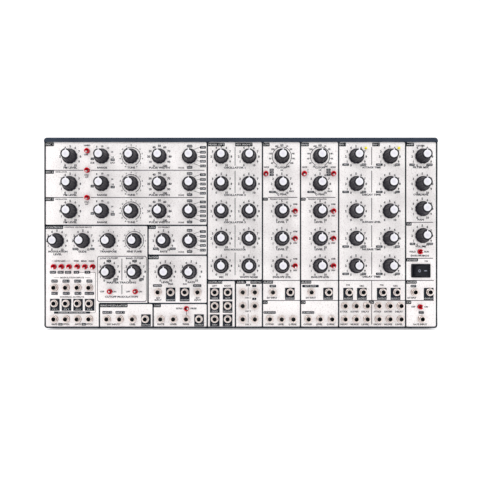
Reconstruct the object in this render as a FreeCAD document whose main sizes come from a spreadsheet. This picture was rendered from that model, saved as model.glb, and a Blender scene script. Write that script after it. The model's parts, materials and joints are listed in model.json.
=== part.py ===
import FreeCAD, Part
import os
import re

# Patch-panel synthesizer console: one wide printed panel of knobs, toggle switches and patch
# sockets on a shallow sheet-metal case that stands upright on four low rubber feet.
#
# Frame, in millimetres: +X to the right along the panel, +Y from the panel into the case, +Z up.
# The origin is at the bottom centre of the whole object, at the feet's underside.
# Controls are laid out on the panel's face: "across" from its left edge, "down" from its top edge.

doc = FreeCAD.newDocument("console")
Vector = FreeCAD.Vector
Placement = FreeCAD.Placement
NO_TURN = FreeCAD.Rotation()
OUT_OF_PANEL = FreeCAD.Rotation(Vector(1, 0, 0), 90)
ALONG_Y = FreeCAD.Rotation(Vector(1, 0, 0), -90)

# ---------------------------------------------------------------- driving dimensions

SIZES = (
    # panel and case
    ("panel_width", 432, "panel and case, 17 inch"),
    ("panel_height", 209, "panel and case, without the feet"),
    ("panel_thick", 2, "aluminium front panel"),
    ("case_depth", 60, "panel face to the rear cover's outside"),
    ("corner_round", 3.5, "outer corners, seen from the front"),
    ("sheet_thick", 1.5, "steel sheet of the case"),
    ("foot_height", 2, "low rubber feet"),
    ("foot_radius", 5, ""),
    ("foot_across", 16, "foot centre from the case's side"),
    ("foot_front", 24, "front feet behind the panel face"),
    ("foot_rear", 53, "rear feet behind the panel face"),
    ("lip_height", 4.7, "top cover's lip over the panel's top edge"),
    ("cover_depth", 8, "top cover's side walls, downwards"),
    ("flange_wide", 9, "rear flanges inside the case shell"),
    # screws
    ("screw_radius", 1.45, "3 mm screws"),
    ("screw_hole", 1.6, "clearance hole"),
    ("thread_hole", 1.5, "tapped hole or screw flange"),
    ("head_radius", 2.8, "pan head"),
    ("rear_head", 2, "pan head height, rear screws"),
    ("floor_head", 0.6, "wafer head height, screws under the case"),
    ("screw_reach", 5, "shank length"),
    ("screw_inset", 5.5, "rear screws from the case's edges"),
    ("screw_stagger", 12, "upper and lower rear screws, further in than the side ones"),
    ("bracket_wide", 7, "panel brackets, between the sockets"),
    ("bracket_deep", 8, ""),
    ("bracket_high", 7, ""),
    ("tap_depth", 6.5, "tapped hole up into each bracket"),
    # boards
    ("board_thick", 1.6, ""),
    ("board_edge", 4, "board edges inside the panel's outline"),
    ("control_gap", 9.5, "panel's back to the control board"),
    ("voice_gap", 14.9, "between the two boards"),
    ("spacer_radius", 2.5, ""),
    ("spacer_inset", 8, "outer spacers from the panel's upper and lower edges"),
    ("spacer_drop", 25, "other spacers below the panel's middle"),
    ("header_long", 26, "board-to-board connectors"),
    ("header_wide", 5, ""),
    ("header_row_a", 40, ""),
    ("header_row_b", 170, ""),
    ("chip_long", 19.5, "circuit packages"),
    ("chip_wide", 7, ""),
    ("chip_high", 4, ""),
    ("chip_first", 30, "first package, from the panel's left and upper edges"),
    ("chip_pitch_x", 36, ""),
    ("chip_pitch_y", 26, ""),
    ("chip_columns", 11, ""),
    ("chip_lines", 6, ""),
    ("capacitor_radius", 4, ""),
    ("capacitor_high", 11, ""),
    ("capacitor_pitch", 24, ""),
    ("capacitor_row", 182, ""),
    ("capacitor_count", 16, ""),
    # knobs and potentiometers
    ("knob_height", 18, "cap's top above the panel"),
    ("knob_gap", 1, "panel to the skirt"),
    ("skirt_radius", 8.35, ""),
    ("skirt_high", 2.6, ""),
    ("barrel_radius", 7.3, "barrel at the skirt"),
    ("crown_radius", 5.45, "barrel at the top"),
    ("cap_radius", 4.15, "white cap"),
    ("cap_thick", 1.2, ""),
    ("cap_proud", 0.3, "cap above the barrel"),
    ("pointer_wide", 1.1, "white pointer"),
    ("flute_radius", 1.4, "finger flutes round the skirt"),
    ("flute_depth", 0.56, "how far a flute cuts into the skirt"),
    ("flute_count", 12, ""),
    ("recess_radius", 6.3, "hollow under the knob, over the nut"),
    ("recess_high", 3.2, "above the panel"),
    ("shaft_radius", 3, ""),
    ("shaft_top", 13, "above the panel"),
    ("shaft_bottom", 6, "below the panel's face"),
    ("shaft_room", 1, "space under the shaft's end"),
    ("running_gap", 0.05, "shaft in its bush, axle in its hole"),
    ("pot_bush_radius", 3.5, "7 mm thread"),
    ("pot_bush_high", 2.6, ""),
    ("pot_wide", 10, ""),
    ("pot_high", 11, ""),
    ("pot_nut_flats", 10, ""),
    ("pot_nut_high", 2, ""),
    ("hole_gap", 0.05, "panel hole round a bushing"),
    # patch sockets, for 3.5 mm plugs
    ("plug_radius", 1.8, "socket's mouth"),
    ("plug_inner", 2.1, "behind the mouth"),
    ("plug_depth", 9, "below the panel's face"),
    ("mouth_long", 3, ""),
    ("nose_radius", 3, "6 mm thread"),
    ("nose_high", 4, ""),
    ("jack_wide", 9, ""),
    ("jack_tall", 10, ""),
    ("jack_nut_radius", 4.2, "round nut"),
    ("jack_nut_high", 2.4, ""),
    # toggle switches
    ("toggle_wide", 7, ""),
    ("toggle_tall", 8, ""),
    ("bush_radius", 2.75, "red bushing"),
    ("bush_high", 4.2, ""),
    ("bush_mouth", 2.3, ""),
    ("bush_throat", 1.5, ""),
    ("toggle_pivot", 2.5, "below the panel's face"),
    ("toggle_ball", 1.3, ""),
    ("throat_deep", 2, "below the lever's pivot"),
    ("lever_root", 0.72, "lever radius at the ball"),
    ("lever_tip", 0.95, ""),
    ("lever_high", 7, "tip above the panel"),
    ("toggle_throw", 11, "degrees each side of the middle"),
    # lamps and power switch
    ("lamp_radius", 1.5, "3 mm"),
    ("lamp_high", 0.8, "straight part above the panel"),
    ("lamp_seat", 4, "below the panel's face"),
    ("lamp_leg", 0.3, ""),
    ("bezel_wide", 21, ""),
    ("bezel_tall", 15, ""),
    ("bezel_high", 1.6, ""),
    ("switch_wide", 19, ""),
    ("switch_tall", 12.9, ""),
    ("switch_deep", 14, ""),
    ("switch_cut_gap", 0.1, "panel cut-out round the switch body"),
    ("well_wide", 17.5, "hollow that the rocker tilts in"),
    ("well_tall", 11.4, ""),
    ("well_deep", 9, ""),
    ("rocker_radius", 8.65, ""),
    ("rocker_tall", 11, ""),
    ("rocker_pivot", 1.2, "below the panel's face"),
    ("rocker_valley", 3.3, "pivot to the valley of the rocker's face"),
    ("rocker_belly", 3, "pivot to the rocker's flat underside"),
    ("rocker_throw", 14, "degrees each side of the middle"),
    ("axle_radius", 1, ""),
    ("axle_reach", 0.6, "axle stub beyond each side of the rocker"),
    ("blade_wide", 0.8, "terminals"),
    ("blade_tall", 4.8, ""),
    ("blade_long", 8, ""),
    ("blade_across", 5, "from the switch's middle"),
    # rear cover
    ("inlet_across", 36, "supply inlet, from the case's right side"),
    ("inlet_up", 30, "above the case's bottom"),
    ("inlet_radius", 4, ""),
    ("inlet_flange", 5.5, ""),
    ("inlet_proud", 1.5, ""),
    ("inlet_deep", 12, ""),
    ("inlet_nut_high", 2, ""),
    ("supply_bore", 2.85, "for a 5.5 mm supply plug"),
    ("supply_pin", 1.05, ""),
    ("pin_recess", 1, "pin's end below the inlet's face"),
    ("supply_depth", 9.5, ""),
    ("vent_wide", 2, ""),
    ("vent_tall", 26, ""),
    ("vent_pitch", 6, ""),
    ("vent_count", 12, "slots in each of two groups"),
    ("vent_middle", 110, "group centre from the case's middle"),
    ("vent_up", 160, "slot centre above the case's bottom"),
    # control rows, down from the panel's top edge
    ("row_top", 20.5, "first knob row"),
    ("row_pitch", 30, ""),
    ("row_master", 113, ""),
    ("row_lower", 147, ""),
    ("row_drive", 78, ""),
    ("row_volume", 107.5, ""),
    ("jack_row_a", 169.5, ""),
    ("jack_row_b", 184.5, ""),
    ("jack_row_c", 199, ""),
    ("keys_row_a", 164.5, "left socket block"),
    ("keys_row_b", 181.75, ""),
    # knob columns, across from the panel's left edge
    ("osc_depth_x", 28.5, ""),
    ("osc_range_x", 63.5, ""),
    ("osc_tune_x", 95.5, ""),
    ("osc_width_x", 126.5, ""),
    ("selector_x", 159.75, "waveform selectors"),
    ("wheel_x", 14, ""),
    ("glide_x", 42.5, ""),
    ("transpose_x", 70.5, ""),
    ("master_x", 99, ""),
    ("lfo_x", 131, ""),
    ("noise_x", 133, ""),
    ("mix_left_x", 194.5, ""),
    ("mix_right_x", 224.75, ""),
    ("lowpass_x", 261, ""),
    ("bandpass_x", 303, ""),
    ("contour_left_x", 342.5, ""),
    ("contour_right_x", 379.5, ""),
    ("volume_x", 415.25, ""),
    # toggle switches
    ("osc_toggle_x", 47.5, ""),
    ("osc_toggle_top", 14.5, ""),
    ("osc_toggle_mid", 35.75, ""),
    ("row_trio", 141.5, "two rows of three, above the left sockets"),
    ("trio_left_x", 11, ""),
    ("trio_right_x", 36.75, ""),
    ("trio_pitch", 8.4, ""),
    ("row_source", 168.75, "under the transpose and master knobs"),
    ("source_left_x", 72.25, ""),
    ("source_right_x", 100.25, ""),
    ("sync_toggle_x", 156.25, ""),
    ("row_sync", 187.5, ""),
    ("row_slope", 39.5, ""),
    ("slope_left_x", 243.5, ""),
    ("slope_mid_x", 285.5, ""),
    ("slope_right_x", 317.5, ""),
    ("invert_left_x", 275.5, ""),
    ("output_toggle_x", 412.5, ""),
    ("row_output_a", 125, ""),
    ("row_output_b", 185.5, ""),
    # socket columns
    ("keys_x", 11.25, ""),
    ("keys_pitch", 12.75, ""),
    ("ring_x", 69.1, ""),
    ("sync_x", 128, ""),
    ("ring_pitch", 14, ""),
    ("noise_in_x", 125, ""),
    ("noise_out_x", 139, ""),
    ("hold_out_x", 154.5, ""),
    ("hold_in_x", 168.5, ""),
    ("output_left_x", 187.25, ""),
    ("output_right_x", 201.5, ""),
    ("level_x", 218, ""),
    ("width_x", 231.2, ""),
    ("lowpass_in_x", 251, ""),
    ("lowpass_out_x", 270.2, ""),
    ("lowpass_cv_x", 247.7, ""),
    ("bandpass_in_x", 293.2, ""),
    ("bandpass_out_x", 312.3, ""),
    ("bandpass_cv_x", 290, ""),
    ("cv_pitch", 12.8, ""),
    ("contour_out_pitch", 15.25, ""),
    ("contour_left_out_x", 334.75, ""),
    ("contour_right_out_x", 371.75, ""),
    ("contour_left_cv_x", 330.2, ""),
    ("contour_right_cv_x", 367.1, ""),
    ("contour_cv_pitch", 12.1, ""),
    ("amp_in_x", 406.8, ""),
    ("amp_out_x", 423.2, ""),
    ("amp_cv_x", 414.5, ""),
    # lamps and power switch
    ("lamp_row", 11.25, ""),
    ("lamp_left_x", 353.25, ""),
    ("lamp_right_x", 389.5, ""),
    ("power_x", 413.5, ""),
    ("power_row", 146, ""),
    # panel brackets and board fixings
    ("bracket_left_x", 59.3, ""),
    ("bracket_mid_x", 178.6, ""),
    ("bracket_right_x", 403, ""),
    ("header_left_x", 60, ""),
    ("header_mid_x", 216, ""),
    ("header_right_x", 350, ""),
    ("spacer_a_x", 10, ""),
    ("spacer_b_x", 178.5, ""),
    ("spacer_c_x", 294, ""),
    ("spacer_d_x", 424, ""),
    # how shapes meet
    ("overlap", 0.1, "how far joined shapes run into each other"),
    ("through", 1, "how far a cut runs past the faces that it goes through"),
)

sheet = doc.addObject("Spreadsheet::Sheet", "sizes")
for line, (alias, value, note) in enumerate(SIZES, start=1):
    sheet.set("A{}".format(line), alias)
    sheet.set("B{}".format(line), str(value))
    sheet.setAlias("B{}".format(line), alias)
    sheet.set("C{}".format(line), note)
doc.recompute()

ALIASES = {alias for alias, value, note in SIZES}


def rule(text):
    """An expression on the sheet, from one that names only its aliases."""

    def cell(match):
        word = match.group()
        return "sizes." + word if word in ALIASES else word

    return re.sub(r"[a-z_]+", cell, str(text))


def value_of(text):
    """What a rule comes to, as a plain number."""
    return float(sheet.evalExpression(rule(text)))


# ---------------------------------------------------------------- helpers

FACE_Y = "(knob_height - case_depth - rear_head) / 2"
TOP_Z = "foot_height + panel_height"
PANEL_AT = ("-panel_width / 2", FACE_Y, TOP_Z)


def put(obj, at, turn=NO_TURN):
    """Turn an object, and bind its place to the sheet."""
    obj.Placement = Placement(Vector(), turn)
    for axis, text in zip("xyz", at):
        obj.setExpression("Placement.Base." + axis, rule(text))
    return obj


def solid(kind, name, at=(0, 0, 0), turn=NO_TURN, **dims):
    """A Part primitive or prism with its sizes and place bound to the sheet."""
    obj = doc.addObject("Part::" + kind, name)
    for prop, text in dims.items():
        obj.setExpression(prop, rule(text))
    return put(obj, at, turn)


def box(name, low, high):
    """A box from its low corner to its high corner, both given as rules."""
    spans = ["({}) - ({})".format(top, bottom) for bottom, top in zip(low, high)]
    return solid("Box", name, low, Length=spans[0], Width=spans[1], Height=spans[2])


def hex_prism(name, flats, height):
    """A hexagonal prism of the given width across its flats."""
    prism = doc.addObject("Part::Prism", name)
    prism.Polygon = 6
    prism.setExpression("Circumradius", rule("({}) / 2 / cos(30)".format(flats)))
    prism.setExpression("Height", rule(height))
    return prism


def fuse(name, *shapes):
    joined = doc.addObject("Part::MultiFuse", name)
    joined.Shapes = list(shapes)
    return joined


def cut(name, base, *tools):
    """The base less the tools, which may touch or overlap each other."""
    result = doc.addObject("Part::Cut", name)
    result.Base = base
    result.Tool = tools[0] if len(tools) == 1 else group(name + "_tools", *tools)
    return result


def group(name, *members):
    compound = doc.addObject("Part::Compound", name)
    compound.Links = list(members)
    return compound


def copies(name, master, places):
    """One master repeated at each place, as a link array.

    The array ignores its master's own placement, so the master is wrapped in a compound.
    """
    array = doc.addObject("App::Link", name)
    array.LinkedObject = group(name + "_master", master)
    array.ShowElement = False
    array.ElementCount = len(places)
    array.PlacementList = places
    return array


def on_panel(layout, turn=NO_TURN):
    """Places in the panel's own frame for a list of (across, down) rules."""
    return [
        Placement(Vector(value_of(across), -value_of(down), 0), turn)
        for across, down in layout
    ]


def body_box(body, kind, name, low, high):
    """An additive or subtractive box of a body, corner to corner."""
    feature = body.newObject("PartDesign::" + kind, name)
    for prop, bottom, top in zip(("Length", "Width", "Height"), low, high):
        feature.setExpression(prop, rule("({}) - ({})".format(top, bottom)))
    return put(feature, low)


def round_edges(body, name, along, picked=lambda middle: True):
    """Round the body's straight edges along one direction whose middle the test picks."""
    doc.recompute()
    base = body.Tip
    edges = [
        "Edge{}".format(number)
        for number, edge in enumerate(base.Shape.Edges, start=1)
        if abs(edge.tangentAt(edge.FirstParameter).dot(along)) > 0.999
        and picked(edge.CenterOfMass)
    ]
    fillet = body.newObject("PartDesign::Fillet", name)
    fillet.Base = (base, edges)
    fillet.setExpression("Radius", rule("corner_round"))
    body.Tip = fillet


nodes = []


def node(name, shape, at=None, turn=NO_TURN):
    """Keep an object as a sub-part under the name that its file will have."""
    shape.Label = name
    if at is not None:
        put(shape, at, turn)
    nodes.append(shape)
    return shape


def panel_node(name, shape):
    """A sub-part modelled in the panel's frame: across, up from the top edge, outwards."""
    return node(name, shape, PANEL_AT, OUT_OF_PANEL)


# ---------------------------------------------------------------- layout of the controls

KNOB_ROWS = ["row_top + {} * row_pitch".format(step) for step in range(5)]
OSC_COLUMNS = (
    ("depth", "osc_depth_x"),
    ("range", "osc_range_x"),
    ("tune", "osc_tune_x"),
    ("width", "osc_width_x"),
    ("wave", "selector_x"),
)
MIX_SOURCES = ("osc_a", "osc_b", "osc_c", "ring", "noise")
FILTER_ROLES = ("cutoff", "peak", "mod_a", "mod_b", "contour")


def turning_knobs():
    """Knobs that have a joint of their own: name, across, down."""
    knobs = []
    for letter, row in zip("abc", KNOB_ROWS):
        for role, column in OSC_COLUMNS:
            knobs.append(("osc_{}_{}_knob".format(letter, role), column, row))
    for side, column in (("left", "mix_left_x"), ("right", "mix_right_x")):
        for source, row in zip(MIX_SOURCES, KNOB_ROWS):
            knobs.append(("mix_{}_{}_knob".format(side, source), column, row))
    for kind, column in (("lowpass", "lowpass_x"), ("bandpass", "bandpass_x")):
        for role, row in zip(FILTER_ROLES, KNOB_ROWS):
            knobs.append(("{}_{}_knob".format(kind, role), column, row))
    return knobs


def fixed_knobs():
    """The other knobs, which share one node: across, down."""
    places = [
        (column, "row_master")
        for column in ("wheel_x", "glide_x", "transpose_x", "master_x", "lfo_x", "selector_x")
    ]
    for column in ("transpose_x", "master_x", "noise_x", "selector_x"):
        places.append((column, "row_lower"))
    for column in ("contour_left_x", "contour_right_x"):
        places += [(column, row) for row in KNOB_ROWS]
    for row in (KNOB_ROWS[0], KNOB_ROWS[1], "row_drive", "row_volume"):
        places.append(("volume_x", row))
    return places


# Toggle switches: how each lever leans at rest, then across, down.
LEANS = {
    "down": FreeCAD.Rotation(Vector(1, 0, 0), value_of("toggle_throw")),
    "right": FreeCAD.Rotation(Vector(0, 1, 0), value_of("toggle_throw")),
    "middle": NO_TURN,
}
MOVING_TOGGLES = (
    ("osc_a_toggle_lever", "osc_toggle_x", "osc_toggle_top"),
    ("osc_b_toggle_lever", "osc_toggle_x", "osc_toggle_mid"),
    ("osc_c_toggle_lever", "osc_toggle_x", "osc_toggle_mid + row_pitch"),
)


def fixed_toggles():
    """The other levers, which share one node: lean, across, down."""
    toggles = []
    for first in ("trio_left_x", "trio_right_x"):
        for step in range(3):
            toggles.append(("down", "{} + {} * trio_pitch".format(first, step), "row_trio"))
    toggles.append(("middle", "source_left_x", "row_source"))
    toggles.append(("middle", "source_right_x", "row_source"))
    toggles.append(("right", "sync_toggle_x", "row_sync"))
    for column in ("slope_left_x", "slope_mid_x", "slope_right_x"):
        toggles.append(("down", column, "row_slope"))
    for column in ("invert_left_x", "slope_right_x"):
        toggles += [("down", column, row) for row in KNOB_ROWS[2:]]
    toggles.append(("right", "output_toggle_x", "row_output_a"))
    toggles.append(("right", "output_toggle_x", "row_output_b"))
    return toggles


def row_of(first, pitch, count, down):
    """Places at an even pitch along one row: across, down."""
    return [("{} + {} * {}".format(first, step, pitch), down) for step in range(count)]


def patch_sockets():
    """Every patch socket: across, down."""
    places = []
    for row in ("keys_row_a", "keys_row_b", "jack_row_c"):
        places += row_of("keys_x", "keys_pitch", 4, row)
    places += row_of("ring_x", "ring_pitch", 4, "jack_row_c")
    places += row_of("sync_x", "ring_pitch", 4, "jack_row_c")
    for column in ("noise_in_x", "noise_out_x", "hold_out_x", "hold_in_x"):
        places.append((column, "jack_row_a"))
    for row in ("jack_row_a", "jack_row_b", "jack_row_c"):
        for column in ("output_left_x", "output_right_x", "level_x", "width_x"):
            places.append((column, row))
    for kind in ("lowpass", "bandpass"):
        places.append((kind + "_in_x", "jack_row_a"))
        places.append((kind + "_out_x", "jack_row_a"))
        places += row_of(kind + "_cv_x", "cv_pitch", 3, "jack_row_c")
    for side in ("contour_left", "contour_right"):
        places += row_of(side + "_out_x", "contour_out_pitch", 2, "jack_row_a")
        for row in ("jack_row_b", "jack_row_c"):
            places += row_of(side + "_cv_x", "contour_cv_pitch", 3, row)
    places.append(("amp_in_x", "jack_row_a"))
    places.append(("amp_out_x", "jack_row_a"))
    places.append(("amp_cv_x", "jack_row_c"))
    return places


KNOB_PLACES = [(across, down) for name, across, down in turning_knobs()] + fixed_knobs()
TOGGLE_PLACES = [(across, down) for name, across, down in MOVING_TOGGLES]
TOGGLE_PLACES += [(across, down) for lean, across, down in fixed_toggles()]
SOCKET_PLACES = patch_sockets()
LAMP_PLACES = [("lamp_left_x", "lamp_row"), ("lamp_right_x", "lamp_row")]

# ---------------------------------------------------------------- front panel

PANEL_BACK = "-panel_thick"
BOARD_FRONT = "-panel_thick - control_gap"


def hole(name, radius):
    """A drill through the panel."""
    depth = "3 * panel_thick"
    return solid("Cylinder", name, (0, 0, "-2 * panel_thick"), Radius=radius, Height=depth)


def front_panel():
    """The printed plate, in the panel's frame, with a hole for every control."""
    blank = doc.addObject("PartDesign::Body", "panel_blank")
    low = ("0", "-panel_height", PANEL_BACK)
    body_box(blank, "AdditiveBox", "panel_plate", low, ("panel_width", "-sheet_thick", "0"))
    round_edges(blank, "panel_corners", Vector(0, 0, 1))
    power_hole = box(
        "power_hole",
        (
            "power_x - switch_wide / 2 - switch_cut_gap",
            "-power_row - switch_tall / 2 - switch_cut_gap",
            "-2 * panel_thick",
        ),
        (
            "power_x + switch_wide / 2 + switch_cut_gap",
            "-power_row + switch_tall / 2 + switch_cut_gap",
            "panel_thick",
        ),
    )
    pot_hole = hole("pot_hole", "pot_bush_radius + hole_gap")
    jack_hole = hole("jack_hole", "nose_radius + hole_gap")
    toggle_hole = hole("toggle_hole", "bush_radius + hole_gap")
    lamp_hole = hole("lamp_hole", "lamp_radius + hole_gap")
    drilled = cut(
        "drilled_panel",
        blank,
        copies("pot_holes", pot_hole, on_panel(KNOB_PLACES)),
        copies("jack_holes", jack_hole, on_panel(SOCKET_PLACES)),
        copies("toggle_holes", toggle_hole, on_panel(TOGGLE_PLACES)),
        copies("lamp_holes", lamp_hole, on_panel(LAMP_PLACES)),
        power_hole,
    )
    panel_node("front_panel", drilled)


# ---------------------------------------------------------------- case

HALF = "panel_width / 2"
BACK_Y = FACE_Y + " + panel_thick"
REAR_Y = FACE_Y + " + case_depth - sheet_thick"
SEAM_Z = TOP_Z + " - cover_depth"
INLET_SPOT = ("{} - inlet_across".format(HALF), "foot_height + inlet_up")
BRACKET_SPOTS = [
    Placement(Vector(value_of("{} - {}".format(across, HALF)), 0, 0), NO_TURN)
    for across in ("bracket_left_x", "bracket_mid_x", "bracket_right_x")
]
BRACKET_Y = BACK_Y + " + bracket_deep / 2"
REAR_ACROSS = (
    "-{} + screw_inset + screw_stagger".format(HALF),
    "0",
    "{} - screw_inset - screw_stagger".format(HALF),
)
# Rear screws, as (x, z) rules: three into the top cover; three below and two up each side
# into the case shell.
COVER_SCREWS = [(across, TOP_Z + " - screw_inset") for across in REAR_ACROSS]
SHELL_SCREWS = [(across, "foot_height + screw_inset") for across in REAR_ACROSS]
SHELL_SCREWS += [
    (side, "foot_height + panel_height * {} / 3".format(share))
    for side in ("-{} + screw_inset".format(HALF), "{} - screw_inset".format(HALF))
    for share in (1, 2)
]


def rear_places(spots):
    """Placements for (x, z) rules on the rear."""
    return [Placement(Vector(value_of(x), 0, value_of(z)), NO_TURN) for x, z in spots]


def rear_drill(name, radius, spots):
    """Holes through the rear, at the given (x, z) rules."""
    drill = solid(
        "Cylinder",
        name + "_drill",
        (0, "{} - 2 * sheet_thick".format(REAR_Y), 0),
        ALONG_Y,
        Radius=radius,
        Height="4 * sheet_thick",
    )
    return copies(name, drill, rear_places(spots))


def floor_drill(name, radius):
    """Holes up through the case's bottom, under the panel brackets."""
    height = "foot_height + sheet_thick + tap_depth"
    drill = solid("Cylinder", name + "_drill", (0, BRACKET_Y, 0), Radius=radius, Height=height)
    return copies(name, drill, BRACKET_SPOTS)


def case_shell():
    """Bottom and two sides in one bent sheet, with flanges for the rear cover."""
    shell = doc.addObject("PartDesign::Body", "shell_sheet")
    left = "-" + HALF
    body_box(
        shell,
        "AdditiveBox",
        "shell_block",
        (left, BACK_Y, "foot_height"),
        (HALF, REAR_Y, SEAM_Z),
    )
    half_way = value_of(TOP_Z) / 2
    round_edges(shell, "shell_bends", Vector(0, 1, 0), lambda middle: middle.z < half_way)
    body_box(
        shell,
        "SubtractiveBox",
        "shell_hollow",
        (left + " + sheet_thick", BACK_Y + " - through", "foot_height + sheet_thick"),
        (HALF + " - sheet_thick", REAR_Y + " - sheet_thick", SEAM_Z + " + through"),
    )
    body_box(
        shell,
        "SubtractiveBox",
        "shell_window",
        (
            left + " + flange_wide",
            REAR_Y + " - sheet_thick - through",
            "foot_height + flange_wide",
        ),
        (HALF + " - flange_wide", REAR_Y + " + through", SEAM_Z + " + through"),
    )
    drilled = cut(
        "drilled_shell",
        shell,
        rear_drill("shell_taps", "thread_hole", SHELL_SCREWS),
        floor_drill("shell_holes", "screw_hole"),
    )
    node("case_shell", drilled)


def top_cover():
    """Top sheet with a front lip over the panel's edge, low side walls and a rear wall."""
    cover = doc.addObject("PartDesign::Body", "cover_sheet")
    left = "-" + HALF
    under = TOP_Z + " - sheet_thick"
    body_box(
        cover,
        "AdditiveBox",
        "cover_block",
        (left, FACE_Y + " - sheet_thick", SEAM_Z),
        (HALF, REAR_Y, TOP_Z),
    )
    seam = value_of(SEAM_Z)
    round_edges(cover, "cover_bends", Vector(0, 1, 0), lambda middle: middle.z > seam)
    body_box(
        cover,
        "SubtractiveBox",
        "cover_hollow",
        (left + " + sheet_thick", BACK_Y, SEAM_Z + " - through"),
        (HALF + " - sheet_thick", REAR_Y + " - sheet_thick", under),
    )
    body_box(
        cover,
        "SubtractiveBox",
        "panel_slot",
        (left + " - through", FACE_Y, SEAM_Z + " - through"),
        (HALF + " + through", BACK_Y, under),
    )
    body_box(
        cover,
        "SubtractiveBox",
        "below_lip",
        (left + " - through", FACE_Y + " - sheet_thick - through", SEAM_Z + " - through"),
        (HALF + " + through", FACE_Y, TOP_Z + " - lip_height"),
    )
    taps = rear_drill("cover_taps", "thread_hole", COVER_SCREWS)
    node("top_cover", cut("drilled_cover", cover, taps))


def rear_cover():
    """Flat rear sheet with the screw holes, the supply inlet's hole and two vents."""
    plate = doc.addObject("PartDesign::Body", "rear_plate")
    body_box(
        plate,
        "AdditiveBox",
        "rear_sheet",
        ("-" + HALF, REAR_Y, "foot_height"),
        (HALF, REAR_Y + " + sheet_thick", TOP_Z),
    )
    round_edges(plate, "rear_corners", Vector(0, 1, 0))
    slot = box(
        "vent_slot",
        ("-vent_wide / 2", REAR_Y + " - through", "foot_height + vent_up - vent_tall / 2"),
        (
            "vent_wide / 2",
            REAR_Y + " + sheet_thick + through",
            "foot_height + vent_up + vent_tall / 2",
        ),
    )
    count = int(value_of("vent_count"))
    places = []
    for side in (-1, 1):
        for step in range(count):
            offset = (step - (count - 1) / 2) * value_of("vent_pitch")
            places.append(Placement(Vector(side * value_of("vent_middle") + offset, 0, 0), NO_TURN))
    pierced = cut(
        "pierced_rear",
        plate,
        rear_drill("rear_holes", "screw_hole", COVER_SCREWS + SHELL_SCREWS),
        rear_drill("inlet_hole", "inlet_radius + hole_gap", [INLET_SPOT]),
        copies("vents", slot, places),
    )
    node("rear_cover", pierced)


def panel_brackets():
    """Blocks bonded behind the panel's bottom edge, each tapped from below."""
    block = box(
        "bracket_block",
        ("-bracket_wide / 2", BACK_Y, "foot_height + sheet_thick"),
        (
            "bracket_wide / 2",
            BACK_Y + " + bracket_deep",
            "foot_height + sheet_thick + bracket_high",
        ),
    )
    blocks = group("bracket_blocks", copies("bracket_row", block, BRACKET_SPOTS))
    node("panel_brackets", cut("tapped_brackets", blocks, floor_drill("taps", "thread_hole")))


def case_screws():
    """Pan-head screws in the rear, and wafer-head ones up through the bottom."""
    rear_face = REAR_Y + " + sheet_thick"
    rear_shank = solid(
        "Cylinder",
        "rear_shank",
        (0, rear_face + " - screw_reach", 0),
        ALONG_Y,
        Radius="screw_radius",
        Height="screw_reach",
    )
    rear_cap = solid(
        "Cylinder", "rear_cap", (0, rear_face, 0), ALONG_Y, Radius="head_radius", Height="rear_head"
    )
    rear_screw = fuse("rear_screw", rear_shank, rear_cap)
    floor_shank = solid(
        "Cylinder",
        "floor_shank",
        (0, BRACKET_Y, "foot_height"),
        Radius="screw_radius",
        Height="screw_reach + sheet_thick",
    )
    floor_cap = solid(
        "Cylinder",
        "floor_cap",
        (0, BRACKET_Y, "foot_height - floor_head"),
        Radius="head_radius",
        Height="floor_head",
    )
    floor_screw = fuse("floor_screw", floor_shank, floor_cap)
    rear_set = copies("rear_screw_set", rear_screw, rear_places(COVER_SCREWS + SHELL_SCREWS))
    floor_set = copies("floor_screw_set", floor_screw, BRACKET_SPOTS)
    node("case_screws", group("all_screws", rear_set, floor_set))


def rubber_feet():
    """Four low round feet under the case shell."""
    foot = solid("Cylinder", "foot", Radius="foot_radius", Height="foot_height")
    places = []
    for side in (-1, 1):
        for behind in ("foot_front", "foot_rear"):
            x = side * value_of(HALF + " - foot_across")
            y = value_of("{} + {}".format(FACE_Y, behind))
            places.append(Placement(Vector(x, y, 0), NO_TURN))
    node("rubber_feet", group("feet", copies("foot_set", foot, places)))


# ---------------------------------------------------------------- boards

BOARD_BACK = BOARD_FRONT + " - board_thick"
VOICE_FRONT = BOARD_BACK + " - voice_gap"
VOICE_BACK = VOICE_FRONT + " - board_thick"
SPACER_ROWS = ("spacer_inset", "panel_height / 2 + spacer_drop", "panel_height - spacer_inset")
SPACER_SPOTS = [
    (across, down) for across in ("spacer_a_x", "spacer_b_x", "spacer_c_x") for down in SPACER_ROWS
]
# The power switch takes the middle place of the last column.
SPACER_SPOTS += [("spacer_d_x", down) for down in (SPACER_ROWS[0], SPACER_ROWS[2])]


def board(name, front, *tools):
    """A circuit board parallel to the panel, with its front at the given depth."""
    plate = box(
        name + "_plate",
        ("board_edge", "-panel_height + board_edge", front + " - board_thick"),
        ("panel_width - board_edge", "-board_edge", front),
    )
    panel_node(name, cut(name + "_cut", plate, *tools) if tools else group(name + "_only", plate))


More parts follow.
